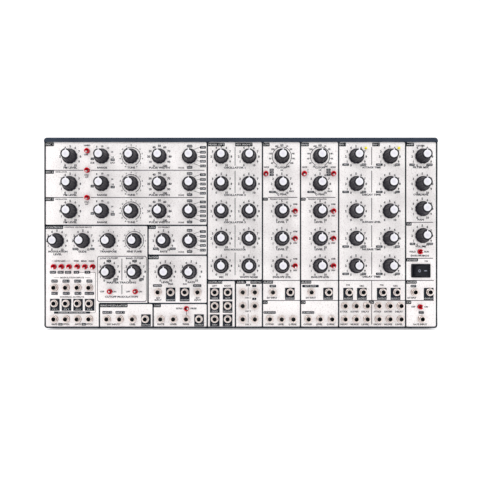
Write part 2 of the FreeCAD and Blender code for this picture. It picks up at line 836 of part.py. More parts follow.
def boards():
    """Control board behind the panel, voice board behind it, and what stands between."""
    window = box(
        "switch_window",
        ("power_x - bezel_wide / 2", "-power_row - bezel_tall / 2", BOARD_BACK + " - through"),
        ("power_x + bezel_wide / 2", "-power_row + bezel_tall / 2", BOARD_FRONT + " + through"),
    )
    board("control_board", BOARD_FRONT, window)
    board("voice_board", VOICE_FRONT)

    spacer = solid(
        "Cylinder", "spacer", (0, 0, VOICE_FRONT), Radius="spacer_radius", Height="voice_gap"
    )
    spacers = copies("spacer_set", spacer, on_panel(SPACER_SPOTS))
    panel_node("board_spacers", group("spacers", spacers))

    header = box(
        "header",
        ("-header_long / 2", "-header_wide / 2", VOICE_FRONT),
        ("header_long / 2", "header_wide / 2", BOARD_BACK),
    )
    spots = [
        (across, down)
        for across in ("header_left_x", "header_mid_x", "header_right_x")
        for down in ("header_row_a", "header_row_b")
    ]
    headers = copies("header_set", header, on_panel(spots))

    chip = box(
        "chip",
        ("-chip_long / 2", "-chip_wide / 2", VOICE_BACK + " - chip_high"),
        ("chip_long / 2", "chip_wide / 2", VOICE_BACK),
    )
    chip_spots = []
    for line in range(int(value_of("chip_lines"))):
        down = "chip_first + chip_pitch_y * {}".format(line)
        chip_spots += row_of("chip_first", "chip_pitch_x", int(value_of("chip_columns")), down)
    chips = copies("chip_set", chip, on_panel(chip_spots))
    capacitor = solid(
        "Cylinder",
        "capacitor",
        (0, 0, VOICE_BACK + " - capacitor_high"),
        Radius="capacitor_radius",
        Height="capacitor_high",
    )
    count = int(value_of("capacitor_count"))
    capacitor_spots = row_of("chip_first", "capacitor_pitch", count, "capacitor_row")
    capacitors = copies("capacitor_set", capacitor, on_panel(capacitor_spots))
    panel_node("board_components", group("components", headers, chips, capacitors))


# ---------------------------------------------------------------- potentiometers and knobs


def potentiometers():
    """Body, threaded bush and nut of each potentiometer or rotary selector."""
    case = box(
        "pot_case",
        ("-pot_wide / 2", "-pot_high / 2", BOARD_FRONT),
        ("pot_wide / 2", "pot_high / 2", PANEL_BACK),
    )
    bush = solid(
        "Cylinder",
        "pot_bush",
        (0, 0, PANEL_BACK),
        Radius="pot_bush_radius",
        Height="panel_thick + pot_bush_high",
    )
    bore = solid(
        "Cylinder",
        "pot_bore",
        (0, 0, "-shaft_bottom - shaft_room"),
        Radius="shaft_radius + running_gap",
        Height="shaft_bottom + shaft_room + pot_bush_high + through",
    )
    pot = cut("potentiometer", fuse("pot_solid", case, bush), bore)
    pots = copies("pot_set", pot, on_panel(KNOB_PLACES))
    panel_node("potentiometer_bodies", group("potentiometers", pots))

    thread = solid(
        "Cylinder", "pot_nut_thread", Radius="pot_bush_radius + hole_gap", Height="pot_nut_high"
    )
    nut = cut("pot_nut", hex_prism("pot_nut_blank", "pot_nut_flats", "pot_nut_high"), thread)
    nuts = copies("pot_nut_set", nut, on_panel(KNOB_PLACES))
    panel_node("potentiometer_nuts", group("pot_nuts", nuts))


def knob_master():
    """A skirted, fluted knob with its cap, pointer and shaft, on its own axis."""
    crown = "knob_height - cap_proud"
    pointer_low = "({}) - cap_thick".format(crown)
    skirt = solid(
        "Cylinder", "skirt", (0, 0, "knob_gap"), Radius="skirt_radius", Height="skirt_high"
    )
    flute = solid(
        "Cylinder",
        "flute",
        ("skirt_radius + flute_radius - flute_depth", 0, 0),
        Radius="flute_radius",
        Height="knob_gap + skirt_high + through",
    )
    count = int(value_of("flute_count"))
    turns = [
        Placement(Vector(), FreeCAD.Rotation(Vector(0, 0, 1), 360 / count * (step + 0.5)))
        for step in range(count)
    ]
    barrel = solid(
        "Cone",
        "barrel",
        (0, 0, "knob_gap + skirt_high"),
        Radius1="barrel_radius",
        Radius2="crown_radius",
        Height="({}) - knob_gap - skirt_high".format(crown),
    )
    bore = solid("Cylinder", "knob_bore", Radius="shaft_radius", Height="shaft_top")
    recess = solid("Cylinder", "knob_recess", Radius="recess_radius", Height="recess_high")
    cap_disc = solid(
        "Cylinder", "cap_disc", (0, 0, pointer_low), Radius="cap_radius", Height="cap_thick"
    )
    pointer_bar = box(
        "pointer_bar",
        ("-pointer_wide / 2", 0, pointer_low),
        ("pointer_wide / 2", "crown_radius + through", crown),
    )
    rim = solid(
        "Cylinder", "pointer_rim", (0, 0, pointer_low), Radius="crown_radius", Height="cap_thick"
    )
    pointer = doc.addObject("Part::Common", "pointer")
    pointer.Base = pointer_bar
    pointer.Tool = rim
    cap_proud = solid(
        "Cylinder",
        "cap_top",
        (0, 0, "({}) - overlap".format(crown)),
        Radius="cap_radius",
        Height="cap_proud + overlap",
    )
    cap = fuse("knob_cap", cap_disc, pointer, cap_proud)
    knob_solid = fuse("knob_solid", cut("fluted_skirt", skirt, copies("flutes", flute, turns)), barrel)
    knob = cut("knob", knob_solid, bore, recess, cap_disc, pointer_bar)
    shaft = solid(
        "Cylinder",
        "knob_shaft",
        (0, 0, "-shaft_bottom"),
        Radius="shaft_radius",
        Height="shaft_top + shaft_bottom",
    )
    return knob, cap, shaft


def knobs():
    """One node for each knob that turns on its own, and one for the others."""
    pieces = knob_master()
    for name, across, down in turning_knobs():
        at = ("{} - {}".format(across, HALF), FACE_Y, "{} - ({})".format(TOP_Z, down))
        node(name, group(name + "_set", *pieces), at, OUT_OF_PANEL)
    master = group("knob_set_master", *pieces)
    others = copies("other_knob_set", master, on_panel(fixed_knobs()))
    panel_node("other_knobs", group("other_knob_group", others))


# ---------------------------------------------------------------- patch sockets


def sockets():
    """Body with a threaded nose and a stepped bore, and the nut, of each patch socket."""
    case = box(
        "jack_case",
        ("-jack_wide / 2", "-jack_tall / 2", BOARD_FRONT),
        ("jack_wide / 2", "jack_tall / 2", PANEL_BACK),
    )
    nose = solid(
        "Cylinder",
        "jack_nose",
        (0, 0, PANEL_BACK),
        Radius="nose_radius",
        Height="panel_thick + nose_high",
    )
    mouth = solid(
        "Cylinder",
        "jack_mouth",
        (0, 0, "nose_high - mouth_long - overlap"),
        Radius="plug_radius",
        Height="mouth_long + through",
    )
    inner = solid(
        "Cylinder",
        "jack_inner",
        (0, 0, "-plug_depth"),
        Radius="plug_inner",
        Height="plug_depth + nose_high - mouth_long",
    )
    jack = cut("jack", fuse("jack_solid", case, nose), mouth, inner)
    jacks = copies("jack_set", jack, on_panel(SOCKET_PLACES))
    panel_node("jack_bodies", group("jacks", jacks))

    thread = solid(
        "Cylinder", "jack_nut_thread", Radius="nose_radius + hole_gap", Height="jack_nut_high"
    )
    blank = solid("Cylinder", "jack_nut_blank", Radius="jack_nut_radius", Height="jack_nut_high")
    nut = cut("jack_nut", blank, thread)
    panel_node("jack_nuts", group("nuts", copies("jack_nut_set", nut, on_panel(SOCKET_PLACES))))


# ---------------------------------------------------------------- toggle switches


def toggles():
    """Bodies with red bushings, and the ball-ended levers that lean in them."""
    case = box(
        "toggle_case",
        ("-toggle_wide / 2", "-toggle_tall / 2", BOARD_FRONT),
        ("toggle_wide / 2", "toggle_tall / 2", PANEL_BACK),
    )
    bush = solid(
        "Cylinder",
        "toggle_bush",
        (0, 0, PANEL_BACK),
        Radius="bush_radius",
        Height="panel_thick + bush_high",
    )
    throat = solid(
        "Cylinder",
        "toggle_throat",
        (0, 0, "-toggle_pivot - throat_deep"),
        Radius="bush_throat",
        Height="throat_deep + overlap",
    )
    mouth = solid(
        "Cone",
        "toggle_mouth",
        (0, 0, "-toggle_pivot"),
        Radius1="bush_throat",
        Radius2="bush_mouth",
        Height="toggle_pivot + bush_high",
    )
    switch = cut("toggle_switch", fuse("toggle_solid", case, bush), throat, mouth)
    switches = copies("toggle_switch_set", switch, on_panel(TOGGLE_PLACES))
    panel_node("toggle_switch_bodies", group("toggle_switches", switches))

    ball = solid("Sphere", "lever_ball", Radius="toggle_ball")
    reach = "toggle_pivot + lever_high - lever_tip"
    stem = solid("Cone", "lever_stem", Radius1="lever_root", Radius2="lever_tip", Height=reach)
    tip = solid("Sphere", "lever_end", (0, 0, reach), Radius="lever_tip")
    lever = fuse("lever", ball, stem, tip)

    depth = "{} + toggle_pivot".format(FACE_Y)
    for name, across, down in MOVING_TOGGLES:
        at = ("{} - {}".format(across, HALF), depth, "{} - ({})".format(TOP_Z, down))
        node(name, group(name + "_only", lever), at, OUT_OF_PANEL.multiply(LEANS["down"]))

    places = []
    for lean, across, down in fixed_toggles():
        spot = Vector(value_of(across), -value_of(down), -value_of("toggle_pivot"))
        places.append(Placement(spot, LEANS[lean]))
    levers = copies("other_lever_set", lever, places)
    panel_node("other_toggle_levers", group("other_levers", levers))


# ---------------------------------------------------------------- lamps and power switch


def lamps():
    """Two round-ended lamps on thin legs from the control board."""
    stem = solid(
        "Cylinder",
        "lamp_stem",
        (0, 0, "-lamp_seat"),
        Radius="lamp_radius",
        Height="lamp_seat + lamp_high",
    )
    dome = solid("Sphere", "lamp_dome", (0, 0, "lamp_high"), Radius="lamp_radius")
    legs = [
        solid(
            "Cylinder",
            "lamp_leg_" + side,
            ("{}lamp_radius / 2".format(sign), 0, BOARD_FRONT),
            Radius="lamp_leg",
            Height="panel_thick + control_gap - lamp_seat + overlap",
        )
        for side, sign in (("left", "-"), ("right", ""))
    ]
    lamp = fuse("lamp", stem, dome, *legs)
    panel_node("envelope_lamps", group("lamps", copies("lamp_set", lamp, on_panel(LAMP_PLACES))))


def power_switch():
    """Housing with its bezel, and the rocker that tilts on two axle stubs in it."""
    centre = ("power_x - {}".format(HALF), FACE_Y, "{} - power_row".format(TOP_Z))
    bezel = box(
        "bezel",
        ("-bezel_wide / 2", "-bezel_tall / 2", 0),
        ("bezel_wide / 2", "bezel_tall / 2", "bezel_high"),
    )
    case = box(
        "switch_case",
        ("-switch_wide / 2", "-switch_tall / 2", "-switch_deep"),
        ("switch_wide / 2", "switch_tall / 2", 0),
    )
    blades = [
        box(
            "blade_" + side,
            ("{} - blade_wide / 2".format(x), "-blade_tall / 2", "-switch_deep - blade_long"),
            ("{} + blade_wide / 2".format(x), "blade_tall / 2", "-switch_deep + overlap"),
        )
        for side, x in (("left", "-blade_across"), ("right", "blade_across"))
    ]
    well = box(
        "well",
        ("-well_wide / 2", "-well_tall / 2", "-well_deep"),
        ("well_wide / 2", "well_tall / 2", "bezel_high + through"),
    )
    axle_hole = solid(
        "Cylinder",
        "axle_hole",
        (0, "-rocker_tall / 2 - axle_reach - running_gap", "-rocker_pivot"),
        ALONG_Y,
        Radius="axle_radius + running_gap",
        Height="rocker_tall + 2 * axle_reach + 2 * running_gap",
    )
    housing_solid = fuse("housing_solid", bezel, case, *blades)
    housing = cut("housing", housing_solid, well, axle_hole)
    node("power_switch_housing", group("switch_housing", housing), centre, OUT_OF_PANEL)

    drum = solid(
        "Cylinder",
        "rocker_drum",
        (0, "-rocker_tall / 2", 0),
        ALONG_Y,
        Radius="rocker_radius",
        Height="rocker_tall",
    )
    slope = FreeCAD.Rotation(Vector(0, 1, 0), -value_of("rocker_throw"))
    above_right = solid(
        "Box",
        "above_right",
        (0, "-rocker_tall", "rocker_valley"),
        slope,
        Length="2 * rocker_radius",
        Width="2 * rocker_tall",
        Height="2 * rocker_radius",
    )
    above_left = doc.addObject("Part::Mirroring", "above_left")
    above_left.Source = above_right
    above_left.Normal = Vector(1, 0, 0)
    below = box(
        "below_rocker",
        ("-2 * rocker_radius", "-rocker_tall", "-2 * rocker_radius"),
        ("2 * rocker_radius", "rocker_tall", "-rocker_belly"),
    )
    paddle = cut("paddle", drum, above_right, above_left, below)
    axle = solid(
        "Cylinder",
        "axle",
        (0, "-rocker_tall / 2 - axle_reach", 0),
        ALONG_Y,
        Radius="axle_radius",
        Height="rocker_tall + 2 * axle_reach",
    )
    tilt = FreeCAD.Rotation(Vector(0, 1, 0), value_of("rocker_throw"))
    pivot = (centre[0], "{} + rocker_pivot".format(FACE_Y), centre[2])
    rocker = group("rocker", fuse("rocker_solid", paddle, axle))
    node("power_rocker", rocker, pivot, OUT_OF_PANEL.multiply(tilt))


def supply_inlet():
    """Round low-voltage inlet in the rear cover, with its inside nut."""
    flange = solid("Cylinder", "inlet_rim", Radius="inlet_flange", Height="inlet_proud")
    barrel = solid(
        "Cylinder",
        "inlet_barrel",
        (0, 0, "-inlet_deep"),
        Radius="inlet_radius",
        Height="inlet_deep + overlap",
    )
    socket = solid(
        "Cylinder",
        "inlet_bore",
        (0, 0, "inlet_proud - supply_depth"),
        Radius="supply_bore",
        Height="supply_depth + through",
    )
    pin = solid(
        "Cylinder",
        "inlet_pin",
        (0, 0, "inlet_proud - supply_depth - pin_recess"),
        Radius="supply_pin",
        Height="supply_depth",
    )
    shell = cut("inlet_shell", fuse("inlet_solid", flange, barrel), socket)
    inlet = fuse("inlet", shell, pin)
    thread = solid(
        "Cylinder",
        "inlet_thread",
        (0, 0, "-sheet_thick - inlet_nut_high - through"),
        Radius="inlet_radius + hole_gap",
        Height="inlet_nut_high + 2 * through",
    )
    blank = hex_prism("inlet_nut_blank", "2 * inlet_flange", "inlet_nut_high")
    put(blank, (0, 0, "-sheet_thick - inlet_nut_high"))
    nut = cut("inlet_nut", blank, thread)
    at = (INLET_SPOT[0], REAR_Y + " + sheet_thick", INLET_SPOT[1])
    node("supply_inlet", group("inlet_set", inlet, nut), at, ALONG_Y)


# ---------------------------------------------------------------- build, test and write

front_panel()
case_shell()
top_cover()
rear_cover()
panel_brackets()
case_screws()
rubber_feet()
boards()
potentiometers()
sockets()
toggles()
lamps()
power_switch()
supply_inlet()
knobs()
doc.recompute()

for obj in doc.Objects:
    if "Invalid" in obj.State or "Error" in obj.State:
        raise RuntimeError("{} did not build: {}".format(obj.Label, obj.State))

for part in nodes:
    if part.Shape.isNull() or not part.Shape.isValid() or not part.Shape.Solids:
        raise RuntimeError("{} has no valid solid".format(part.Label))

os.makedirs("parts", exist_ok=True)
for part in nodes:
    part.Shape.exportStep("parts/{}.step".format(part.Label))
print(len(nodes), "sub-parts written")
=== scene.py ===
"""Looks of a patch-panel synthesizer console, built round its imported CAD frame."""

import json
import math

import bmesh
import bpy
from mathutils import Matrix, Vector

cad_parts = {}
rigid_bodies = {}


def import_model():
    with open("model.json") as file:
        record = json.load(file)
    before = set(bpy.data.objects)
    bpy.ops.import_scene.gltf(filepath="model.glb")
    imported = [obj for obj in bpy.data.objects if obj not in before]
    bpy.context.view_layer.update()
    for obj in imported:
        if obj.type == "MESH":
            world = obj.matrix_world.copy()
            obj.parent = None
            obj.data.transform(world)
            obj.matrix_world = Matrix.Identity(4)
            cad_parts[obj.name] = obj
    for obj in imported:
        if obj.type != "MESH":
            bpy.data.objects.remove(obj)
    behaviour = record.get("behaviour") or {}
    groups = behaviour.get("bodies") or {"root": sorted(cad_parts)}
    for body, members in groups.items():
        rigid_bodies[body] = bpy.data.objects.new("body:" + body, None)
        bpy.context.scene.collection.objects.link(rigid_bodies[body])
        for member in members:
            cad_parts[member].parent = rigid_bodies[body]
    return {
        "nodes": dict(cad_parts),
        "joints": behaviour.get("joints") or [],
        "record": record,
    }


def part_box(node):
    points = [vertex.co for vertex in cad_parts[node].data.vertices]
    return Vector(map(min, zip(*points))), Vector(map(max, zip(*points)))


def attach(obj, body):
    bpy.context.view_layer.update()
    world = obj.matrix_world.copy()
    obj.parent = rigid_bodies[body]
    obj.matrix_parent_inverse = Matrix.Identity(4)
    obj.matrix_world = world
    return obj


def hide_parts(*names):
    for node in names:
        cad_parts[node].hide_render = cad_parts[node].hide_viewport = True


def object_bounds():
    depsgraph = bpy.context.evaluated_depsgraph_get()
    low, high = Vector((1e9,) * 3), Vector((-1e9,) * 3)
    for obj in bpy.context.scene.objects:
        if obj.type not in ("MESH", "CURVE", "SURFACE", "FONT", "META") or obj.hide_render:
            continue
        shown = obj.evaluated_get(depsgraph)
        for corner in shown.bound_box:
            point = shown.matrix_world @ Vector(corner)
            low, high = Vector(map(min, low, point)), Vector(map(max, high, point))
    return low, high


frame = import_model()
CAD_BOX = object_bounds()

MM = 0.001
RECORD = frame["record"]
NODES = frame["nodes"]
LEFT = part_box("front_panel")[0].x
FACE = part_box("front_panel")[0].y
PANEL_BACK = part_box("front_panel")[1].y
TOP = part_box("top_cover")[1].z
OUT_OF_PANEL = Matrix.Rotation(math.radians(90), 4, "X")  # local z points out of the panel
CASE = RECORD["behaviour"]["joints"][0]["parent"]


# ---------------- places on the panel


def on_panel(point):
    """Where a point stands, in mm from the panel's left edge and from the console's top."""
    return (point.x - LEFT) / MM, (TOP - point.z) / MM


def loose_boxes(node):
    """Lowest and highest corner of each loose part of a CAD node's mesh."""
    mesh = NODES[node].data
    keys = {}
    group = []
    for v in mesh.vertices:
        key = tuple(round(c * 1e6) for c in v.co)
        group.append(keys.setdefault(key, len(keys)))
    root = list(range(len(keys)))

    def find(i):
        while root[i] != i:
            root[i] = root[root[i]]
            i = root[i]
        return i

    for p in mesh.polygons:
        first = find(group[p.vertices[0]])
        for i in p.vertices[1:]:
            root[find(group[i])] = first
    boxes = {}
    for v in mesh.vertices:
        lo, hi = boxes.setdefault(find(group[v.index]), (v.co.copy(), v.co.copy()))
        for axis in range(3):
            lo[axis] = min(lo[axis], v.co[axis])
            hi[axis] = max(hi[axis], v.co[axis])
    return sorted(boxes.values(), key=lambda b: (round(b[0].z, 3), round(b[0].x, 3)))


def middle(corners):
    lo, hi = corners
    return (lo + hi) / 2


SOCKETS = [Vector(m["pos_m"]) for m in RECORD["mounts"] if m["name"].startswith("patch_socket")]
JOINT_AT = {j["child"]: Vector(j["pos_m"]) for j in frame["joints"]}
KNOB_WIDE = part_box("osc_a_tune_knob")
KNOB_RADIUS = (KNOB_WIDE[1].x - KNOB_WIDE[0].x) / 2 / MM
STILL_KNOBS = [
    middle(b) for b in loose_boxes("other_knobs") if (b[1].x - b[0].x) / MM > 2 * KNOB_RADIUS - 1
]
TOGGLES = [middle(b) for b in loose_boxes("toggle_switch_bodies")]
LAMPS = [middle(b) for b in loose_boxes("envelope_lamps")]


# ---------------- materials


class Shader:
    """A material built from nodes on one Principled shader."""

    def __init__(self, name):
        self.material = bpy.data.materials.new(name)
        self.material.use_nodes = True
        self.tree = self.material.node_tree
        self.bsdf = self.tree.nodes["Principled BSDF"]
        self.coords = self.tree.nodes.new("ShaderNodeTexCoord").outputs["Object"]

    def add(self, kind, **values):
        made = self.tree.nodes.new(kind)
        for key, value in values.items():
            setattr(made, key, value)
        return made

    def link(self, start, end):
        self.tree.links.new(start, end)

    def set(self, **values):
        for key, value in values.items():
            self.bsdf.inputs[key.replace("_", " ")].default_value = value

    def noise(self, scale, detail=2.0, roughness=0.5, stretch=None):
        made = self.add("ShaderNodeTexNoise")
        made.inputs["Scale"].default_value = scale
        made.inputs["Detail"].default_value = detail
        made.inputs["Roughness"].default_value = roughness
        source = self.coords
        if stretch:
            mapping = self.add("ShaderNodeMapping")
            mapping.inputs["Scale"].default_value = stretch
            self.link(self.coords, mapping.inputs["Vector"])
            source = mapping.outputs["Vector"]
        self.link(source, made.inputs["Vector"])
        return made.outputs["Fac"]

    def ramp(self, value, low, high, start, end):
        """Maps low..high of value to start..end, which are numbers or colours."""
        if isinstance(start, (int, float)):
            made = self.add("ShaderNodeMapRange")
            for key, number in (("From Min", low), ("From Max", high), ("To Min", start), ("To Max", end)):
                made.inputs[key].default_value = number
            self.link(value, made.inputs["Value"])
            return made.outputs["Result"]
        made = self.add("ShaderNodeValToRGB")
        made.color_ramp.elements[0].position = low
        made.color_ramp.elements[1].position = high
        made.color_ramp.elements[0].color = (*start, 1)
        made.color_ramp.elements[1].color = (*end, 1)
        self.link(value, made.inputs["Fac"])
        return made.outputs["Color"]

    def blend(self, factor, first, second):
        """Mixes two colour outputs."""
        made = self.add("ShaderNodeMix", data_type="RGBA")
        self.link(factor, made.inputs["Factor"])
        self.link(first, made.inputs["A"])
        self.link(second, made.inputs["B"])
        return made.outputs["Result"]

    def bump(self, height, distance, strength=1.0):
        made = self.add("ShaderNodeBump")
        made.inputs["Strength"].default_value = strength
        made.inputs["Distance"].default_value = distance
        self.link(height, made.inputs["Height"])
        self.link(made.outputs["Normal"], self.bsdf.inputs["Normal"])

    def colour(self, output):
        self.link(output, self.bsdf.inputs["Base Color"])

    def gloss(self, output):
        self.link(output, self.bsdf.inputs["Roughness"])


def tinted(name, dark, light, scale, rough, grain, stretch=None, **fixed):
    """Colour that wanders between two tones, roughness that wanders, and a fine grain."""
    s = Shader(name)
    s.colour(s.ramp(s.noise(scale, 3.0, 0.55, stretch), 0.35, 0.65, dark, light))
    s.gloss(s.ramp(s.noise(scale * 2.3, 2.0, 0.5, stretch), 0.3, 0.7, rough[0], rough[1]))
    if grain:
        s.bump(s.noise(grain[0], 2.0, 0.6, stretch), grain[1], grain[2])
    s.set(**fixed)
    return s.material


def panel_paint():
    """Pale enamel with a faint speckle and the slight waviness of sprayed paint."""
    s = Shader("panel_enamel")
    broad = s.ramp(s.noise(35.0, 2.0), 0.3, 0.7, (0.790, 0.757, 0.757), (0.860, 0.830, 0.828))
    fleck = s.ramp(s.noise(900.0, 1.0), 0.54, 0.70, (0.0, 0.0, 0.0), (0.55, 0.55, 0.55))
    darker = s.add("ShaderNodeRGB")
    darker.outputs[0].default_value = (0.52, 0.46, 0.46, 1)
    s.colour(s.blend(fleck, broad, darker.outputs[0]))
    s.gloss(s.ramp(s.noise(500.0, 2.0), 0.3, 0.7, 0.38, 0.50))
    s.bump(s.noise(650.0, 2.0, 0.6), 0.00008, 0.35)
    return s.material


def case_paint():
    """Dark slate powder coat."""
    s = Shader("case_enamel")
    s.colour(s.ramp(s.noise(60.0, 3.0), 0.3, 0.7, (0.010, 0.018, 0.036), (0.016, 0.027, 0.048)))
    s.gloss(s.ramp(s.noise(1400.0, 2.0), 0.3, 0.7, 0.48, 0.62))
    s.bump(s.noise(1800.0, 2.0, 0.7), 0.0001, 0.55)
    s.set(Specular_IOR_Level=0.35)
    return s.material


def knob_plastic():
    """Black moulded plastic, a little greyer and shinier where fingers polish it."""
    s = Shader("knob_black")
    s.colour(s.ramp(s.noise(240.0, 3.0), 0.3, 0.7, (0.006, 0.005, 0.010), (0.013, 0.011, 0.019)))
    s.gloss(s.ramp(s.noise(300.0, 2.0), 0.3, 0.7, 0.36, 0.48))
    s.bump(s.noise(2600.0, 2.0, 0.6), 0.00004, 0.35)
    s.set(Specular_IOR_Level=0.24)
    return s.material


def cap_plastic():
    """White cap with a faintly lilac dished centre."""
    dish, rim = 0.0022, 0.0032  # metres from the knob's axis
    s = Shader("cap_white")
    along = s.add("ShaderNodeMapping")
    along.inputs["Scale"].default_value = (1, 1, 0)
    s.link(s.coords, along.inputs["Vector"])
    length = s.add("ShaderNodeVectorMath", operation="LENGTH")
    s.link(along.outputs["Vector"], length.inputs[0])
    tone = s.ramp(length.outputs["Value"], dish, rim, (0.57, 0.545, 0.62), (0.71, 0.71, 0.73))
    shade = s.ramp(s.noise(700.0, 2.0), 0.35, 0.65, (0.52, 0.50, 0.58), (0.68, 0.675, 0.70))
    faint = s.ramp(s.noise(400.0, 1.0), 0.45, 0.75, (0.0, 0.0, 0.0), (0.3, 0.3, 0.3))
    s.colour(s.blend(faint, tone, shade))
    s.gloss(s.ramp(s.noise(500.0, 2.0), 0.3, 0.7, 0.28, 0.38))
    s.bump(s.noise(2200.0, 1.0), 0.00002, 0.3)
    return s.material


INK_GRAIN = (1500.0, 0.00003, 0.3)
METAL_GRAIN = (1500.0, 0.00003, 0.4)
BUSH_GRAIN = (1200.0, 0.00003, 0.3)
DULL = {"Specular_IOR_Level": 0.3}
MATT = {"Specular_IOR_Level": 0.2}
METAL = {"Metallic": 1.0}

# name, dark tone, light tone, noise scale of the tones, least and most roughness,
# grain (noise scale, depth in metres, strength), other inputs
TINTS = (
    ("screen_ink", (0.005, 0.008, 0.015), (0.010, 0.014, 0.023), 300.0, (0.55, 0.7), INK_GRAIN, DULL),
    ("ink_grey", (0.045, 0.042, 0.046), (0.075, 0.070, 0.076), 300.0, (0.55, 0.7), INK_GRAIN, DULL),
    ("ink_pale", (0.66, 0.66, 0.67), (0.78, 0.78, 0.79), 300.0, (0.45, 0.6), INK_GRAIN, {}),
    ("ink_dim", (0.20, 0.21, 0.26), (0.28, 0.29, 0.35), 300.0, (0.5, 0.65), INK_GRAIN, MATT),
    # the bush red glows faintly though the bush is no lamp: a painted glow that lifts the red
    ("bush_red", (0.64, 0.0014, 0.012), (0.82, 0.004, 0.026), 260.0, (0.34, 0.46), BUSH_GRAIN,
     {"Specular_IOR_Level": 0.3, "Emission_Color": (0.8, 0.005, 0.03, 1), "Emission_Strength": 0.04}),
    # a darker copy of the bush red for the bushes' side walls: painted shade
    ("bush_side", (0.20, 0.0010, 0.006), (0.28, 0.002, 0.012), 260.0, (0.40, 0.52), BUSH_GRAIN, MATT),
    ("lever_metal", (0.74, 0.72, 0.73), (0.88, 0.86, 0.87), 500.0, (0.24, 0.38), (1800.0, 0.00002, 0.3),
     METAL),
    ("nut_nickel", (0.86, 0.76, 0.72), (0.95, 0.88, 0.85), 420.0, (0.24, 0.42), METAL_GRAIN, METAL),
    # a dark brown copy of the nickel for threads, knurled sides and steps: painted shade
    ("nickel_shade", (0.19, 0.088, 0.062), (0.34, 0.20, 0.15), 420.0, (0.28, 0.45), METAL_GRAIN, METAL),
    ("zinc_steel", (0.42, 0.42, 0.40), (0.58, 0.58, 0.56), 300.0, (0.3, 0.5), (1200.0, 0.00003, 0.4), METAL),
    ("black_steel", (0.018, 0.018, 0.020), (0.034, 0.034, 0.036), 500.0, (0.30, 0.48), METAL_GRAIN,
     {"Metallic": 0.6}),
    ("aluminium", (0.62, 0.62, 0.64), (0.74, 0.74, 0.76), 300.0, (0.3, 0.45), (900.0, 0.00003, 0.4),
     {"Metallic": 1.0, "stretch": (1, 8, 8)}),
    ("board_green", (0.010, 0.080, 0.030), (0.020, 0.130, 0.050), 120.0, (0.25, 0.4), (700.0, 0.00005, 0.5),
     {}),
    ("part_black", (0.016, 0.016, 0.018), (0.034, 0.034, 0.036), 300.0, (0.35, 0.55), (1600.0, 0.00005, 0.4),
     {}),
    ("switch_black", (0.004, 0.004, 0.007), (0.009, 0.009, 0.014), 260.0, (0.40, 0.55),
     (1800.0, 0.00003, 0.35), MATT),
    ("lamp_yellow", (0.66, 0.56, 0.010), (0.80, 0.72, 0.03), 500.0, (0.12, 0.2), (900.0, 0.00002, 0.2),
     {"Emission_Color": (1.0, 0.88, 0.01, 1), "Emission_Strength": 0.15, "Coat_Weight": 0.5}),
    ("foot_rubber", (0.012, 0.012, 0.012), (0.026, 0.026, 0.026), 300.0, (0.7, 0.9), (1500.0, 0.00008, 0.6),
     {}),
    # near black for the socket bores and the ends of the toggle throats: painted shade
    ("hole_dark", (0.002, 0.002, 0.002), (0.005, 0.005, 0.005), 300.0, (0.6, 0.8), None,
     {"Specular_IOR_Level": 0.1}),
)

MATERIALS = {
    "panel_enamel": panel_paint(),
    "case_enamel": case_paint(),
    "knob_black": knob_plastic(),
    "cap_white": cap_plastic(),
}
for name, *look, others in TINTS:
    MATERIALS[name] = tinted(name, *look, **others)

for entry in RECORD["subparts"]:
    cad = NODES[entry["node"]]
    cad.data.materials.clear()
    cad.data.materials.append(MATERIALS[entry["material_slot"]])


# ---------------- mesh helpers


class Solid:
    """Vertices and faces of one piece, gathered in mm."""

    def __init__(self):
        self.points = []
        self.faces = []
        self.tones = []
        self.smooth = []

    def add(self, points, faces, tone=0, smooth=True):
        base = len(self.points)
        self.points += [Vector(p) for p in points]
        self.faces += [[base + i for i in f] for f in faces]
        self.tones += [tone] * len(faces)
        self.smooth += [smooth] * len(faces)

    def lathe(self, profile, around=48, tone=0, shape=None, smooth=True):
        """Turns (height, radius) rings about z. shape(radius, height, angle) may alter a radius.
        A closed end is a ring of zero radius."""
        points = []
        rings = []
        for height, radius in profile:
            if radius == 0:
                rings.append([len(points)])
                points.append((0, 0, height))
                continue
            ring = []
            for step in range(around):
                angle = 2 * math.pi * step / around
                r = shape(radius, height, angle) if shape else radius
                ring.append(len(points))
                points.append((r * math.cos(angle), r * math.sin(angle), height))
            rings.append(ring)
        faces = []
        for low, high in zip(rings, rings[1:]):
            for step in range(around):
                after = (step + 1) % around
                if len(low) == 1:
                    faces.append((low[0], high[step], high[after]))
                elif len(high) == 1:
                    faces.append((low[step], low[after], high[0]))
                else:
                    faces.append((low[step], low[after], high[after], high[step]))
        self.add(points, faces, tone, smooth)

    def block(self, low, high, tone=0):
        """A closed box between two corners."""
        (x0, y0, z0), (x1, y1, z1) = low, high
        points = [(x, y, z) for z in (z0, z1) for x, y in ((x0, y0), (x1, y0), (x1, y1), (x0, y1))]
        faces = [(3, 2, 1, 0), (4, 5, 6, 7), (0, 1, 5, 4), (1, 2, 6, 5), (2, 3, 7, 6), (3, 0, 4, 7)]
        self.add(points, faces, tone, False)

    def prism(self, outline, z0, z1, tone=0, smooth=False):
        """An outline of (x, y) points, anticlockwise, between two heights."""
        n = len(outline)
        points = [(x, y, z) for z in (z0, z1) for x, y in outline]
        faces = [tuple(reversed(range(n))), tuple(range(n, 2 * n))]
        faces += [(i, (i + 1) % n, n + (i + 1) % n, n + i) for i in range(n)]
        self.add(points, faces, tone, smooth)

    def stamp(self, other, matrix):
        """Adds a copy of another solid."""
        base = len(self.points)
        self.points += [matrix @ p for p in other.points]
        self.faces += [[base + i for i in f] for f in other.faces]
        self.tones += other.tones
        self.smooth += other.smooth

    def mesh(self, name, materials):
        made = bpy.data.meshes.new(name)
        made.from_pydata([p * MM for p in self.points], [], self.faces)
        for m in materials:
            made.materials.append(MATERIALS[m])
        made.polygons.foreach_set("material_index", self.tones)
        made.polygons.foreach_set("use_smooth", self.smooth)
        made.validate()
        made.update()
        return made


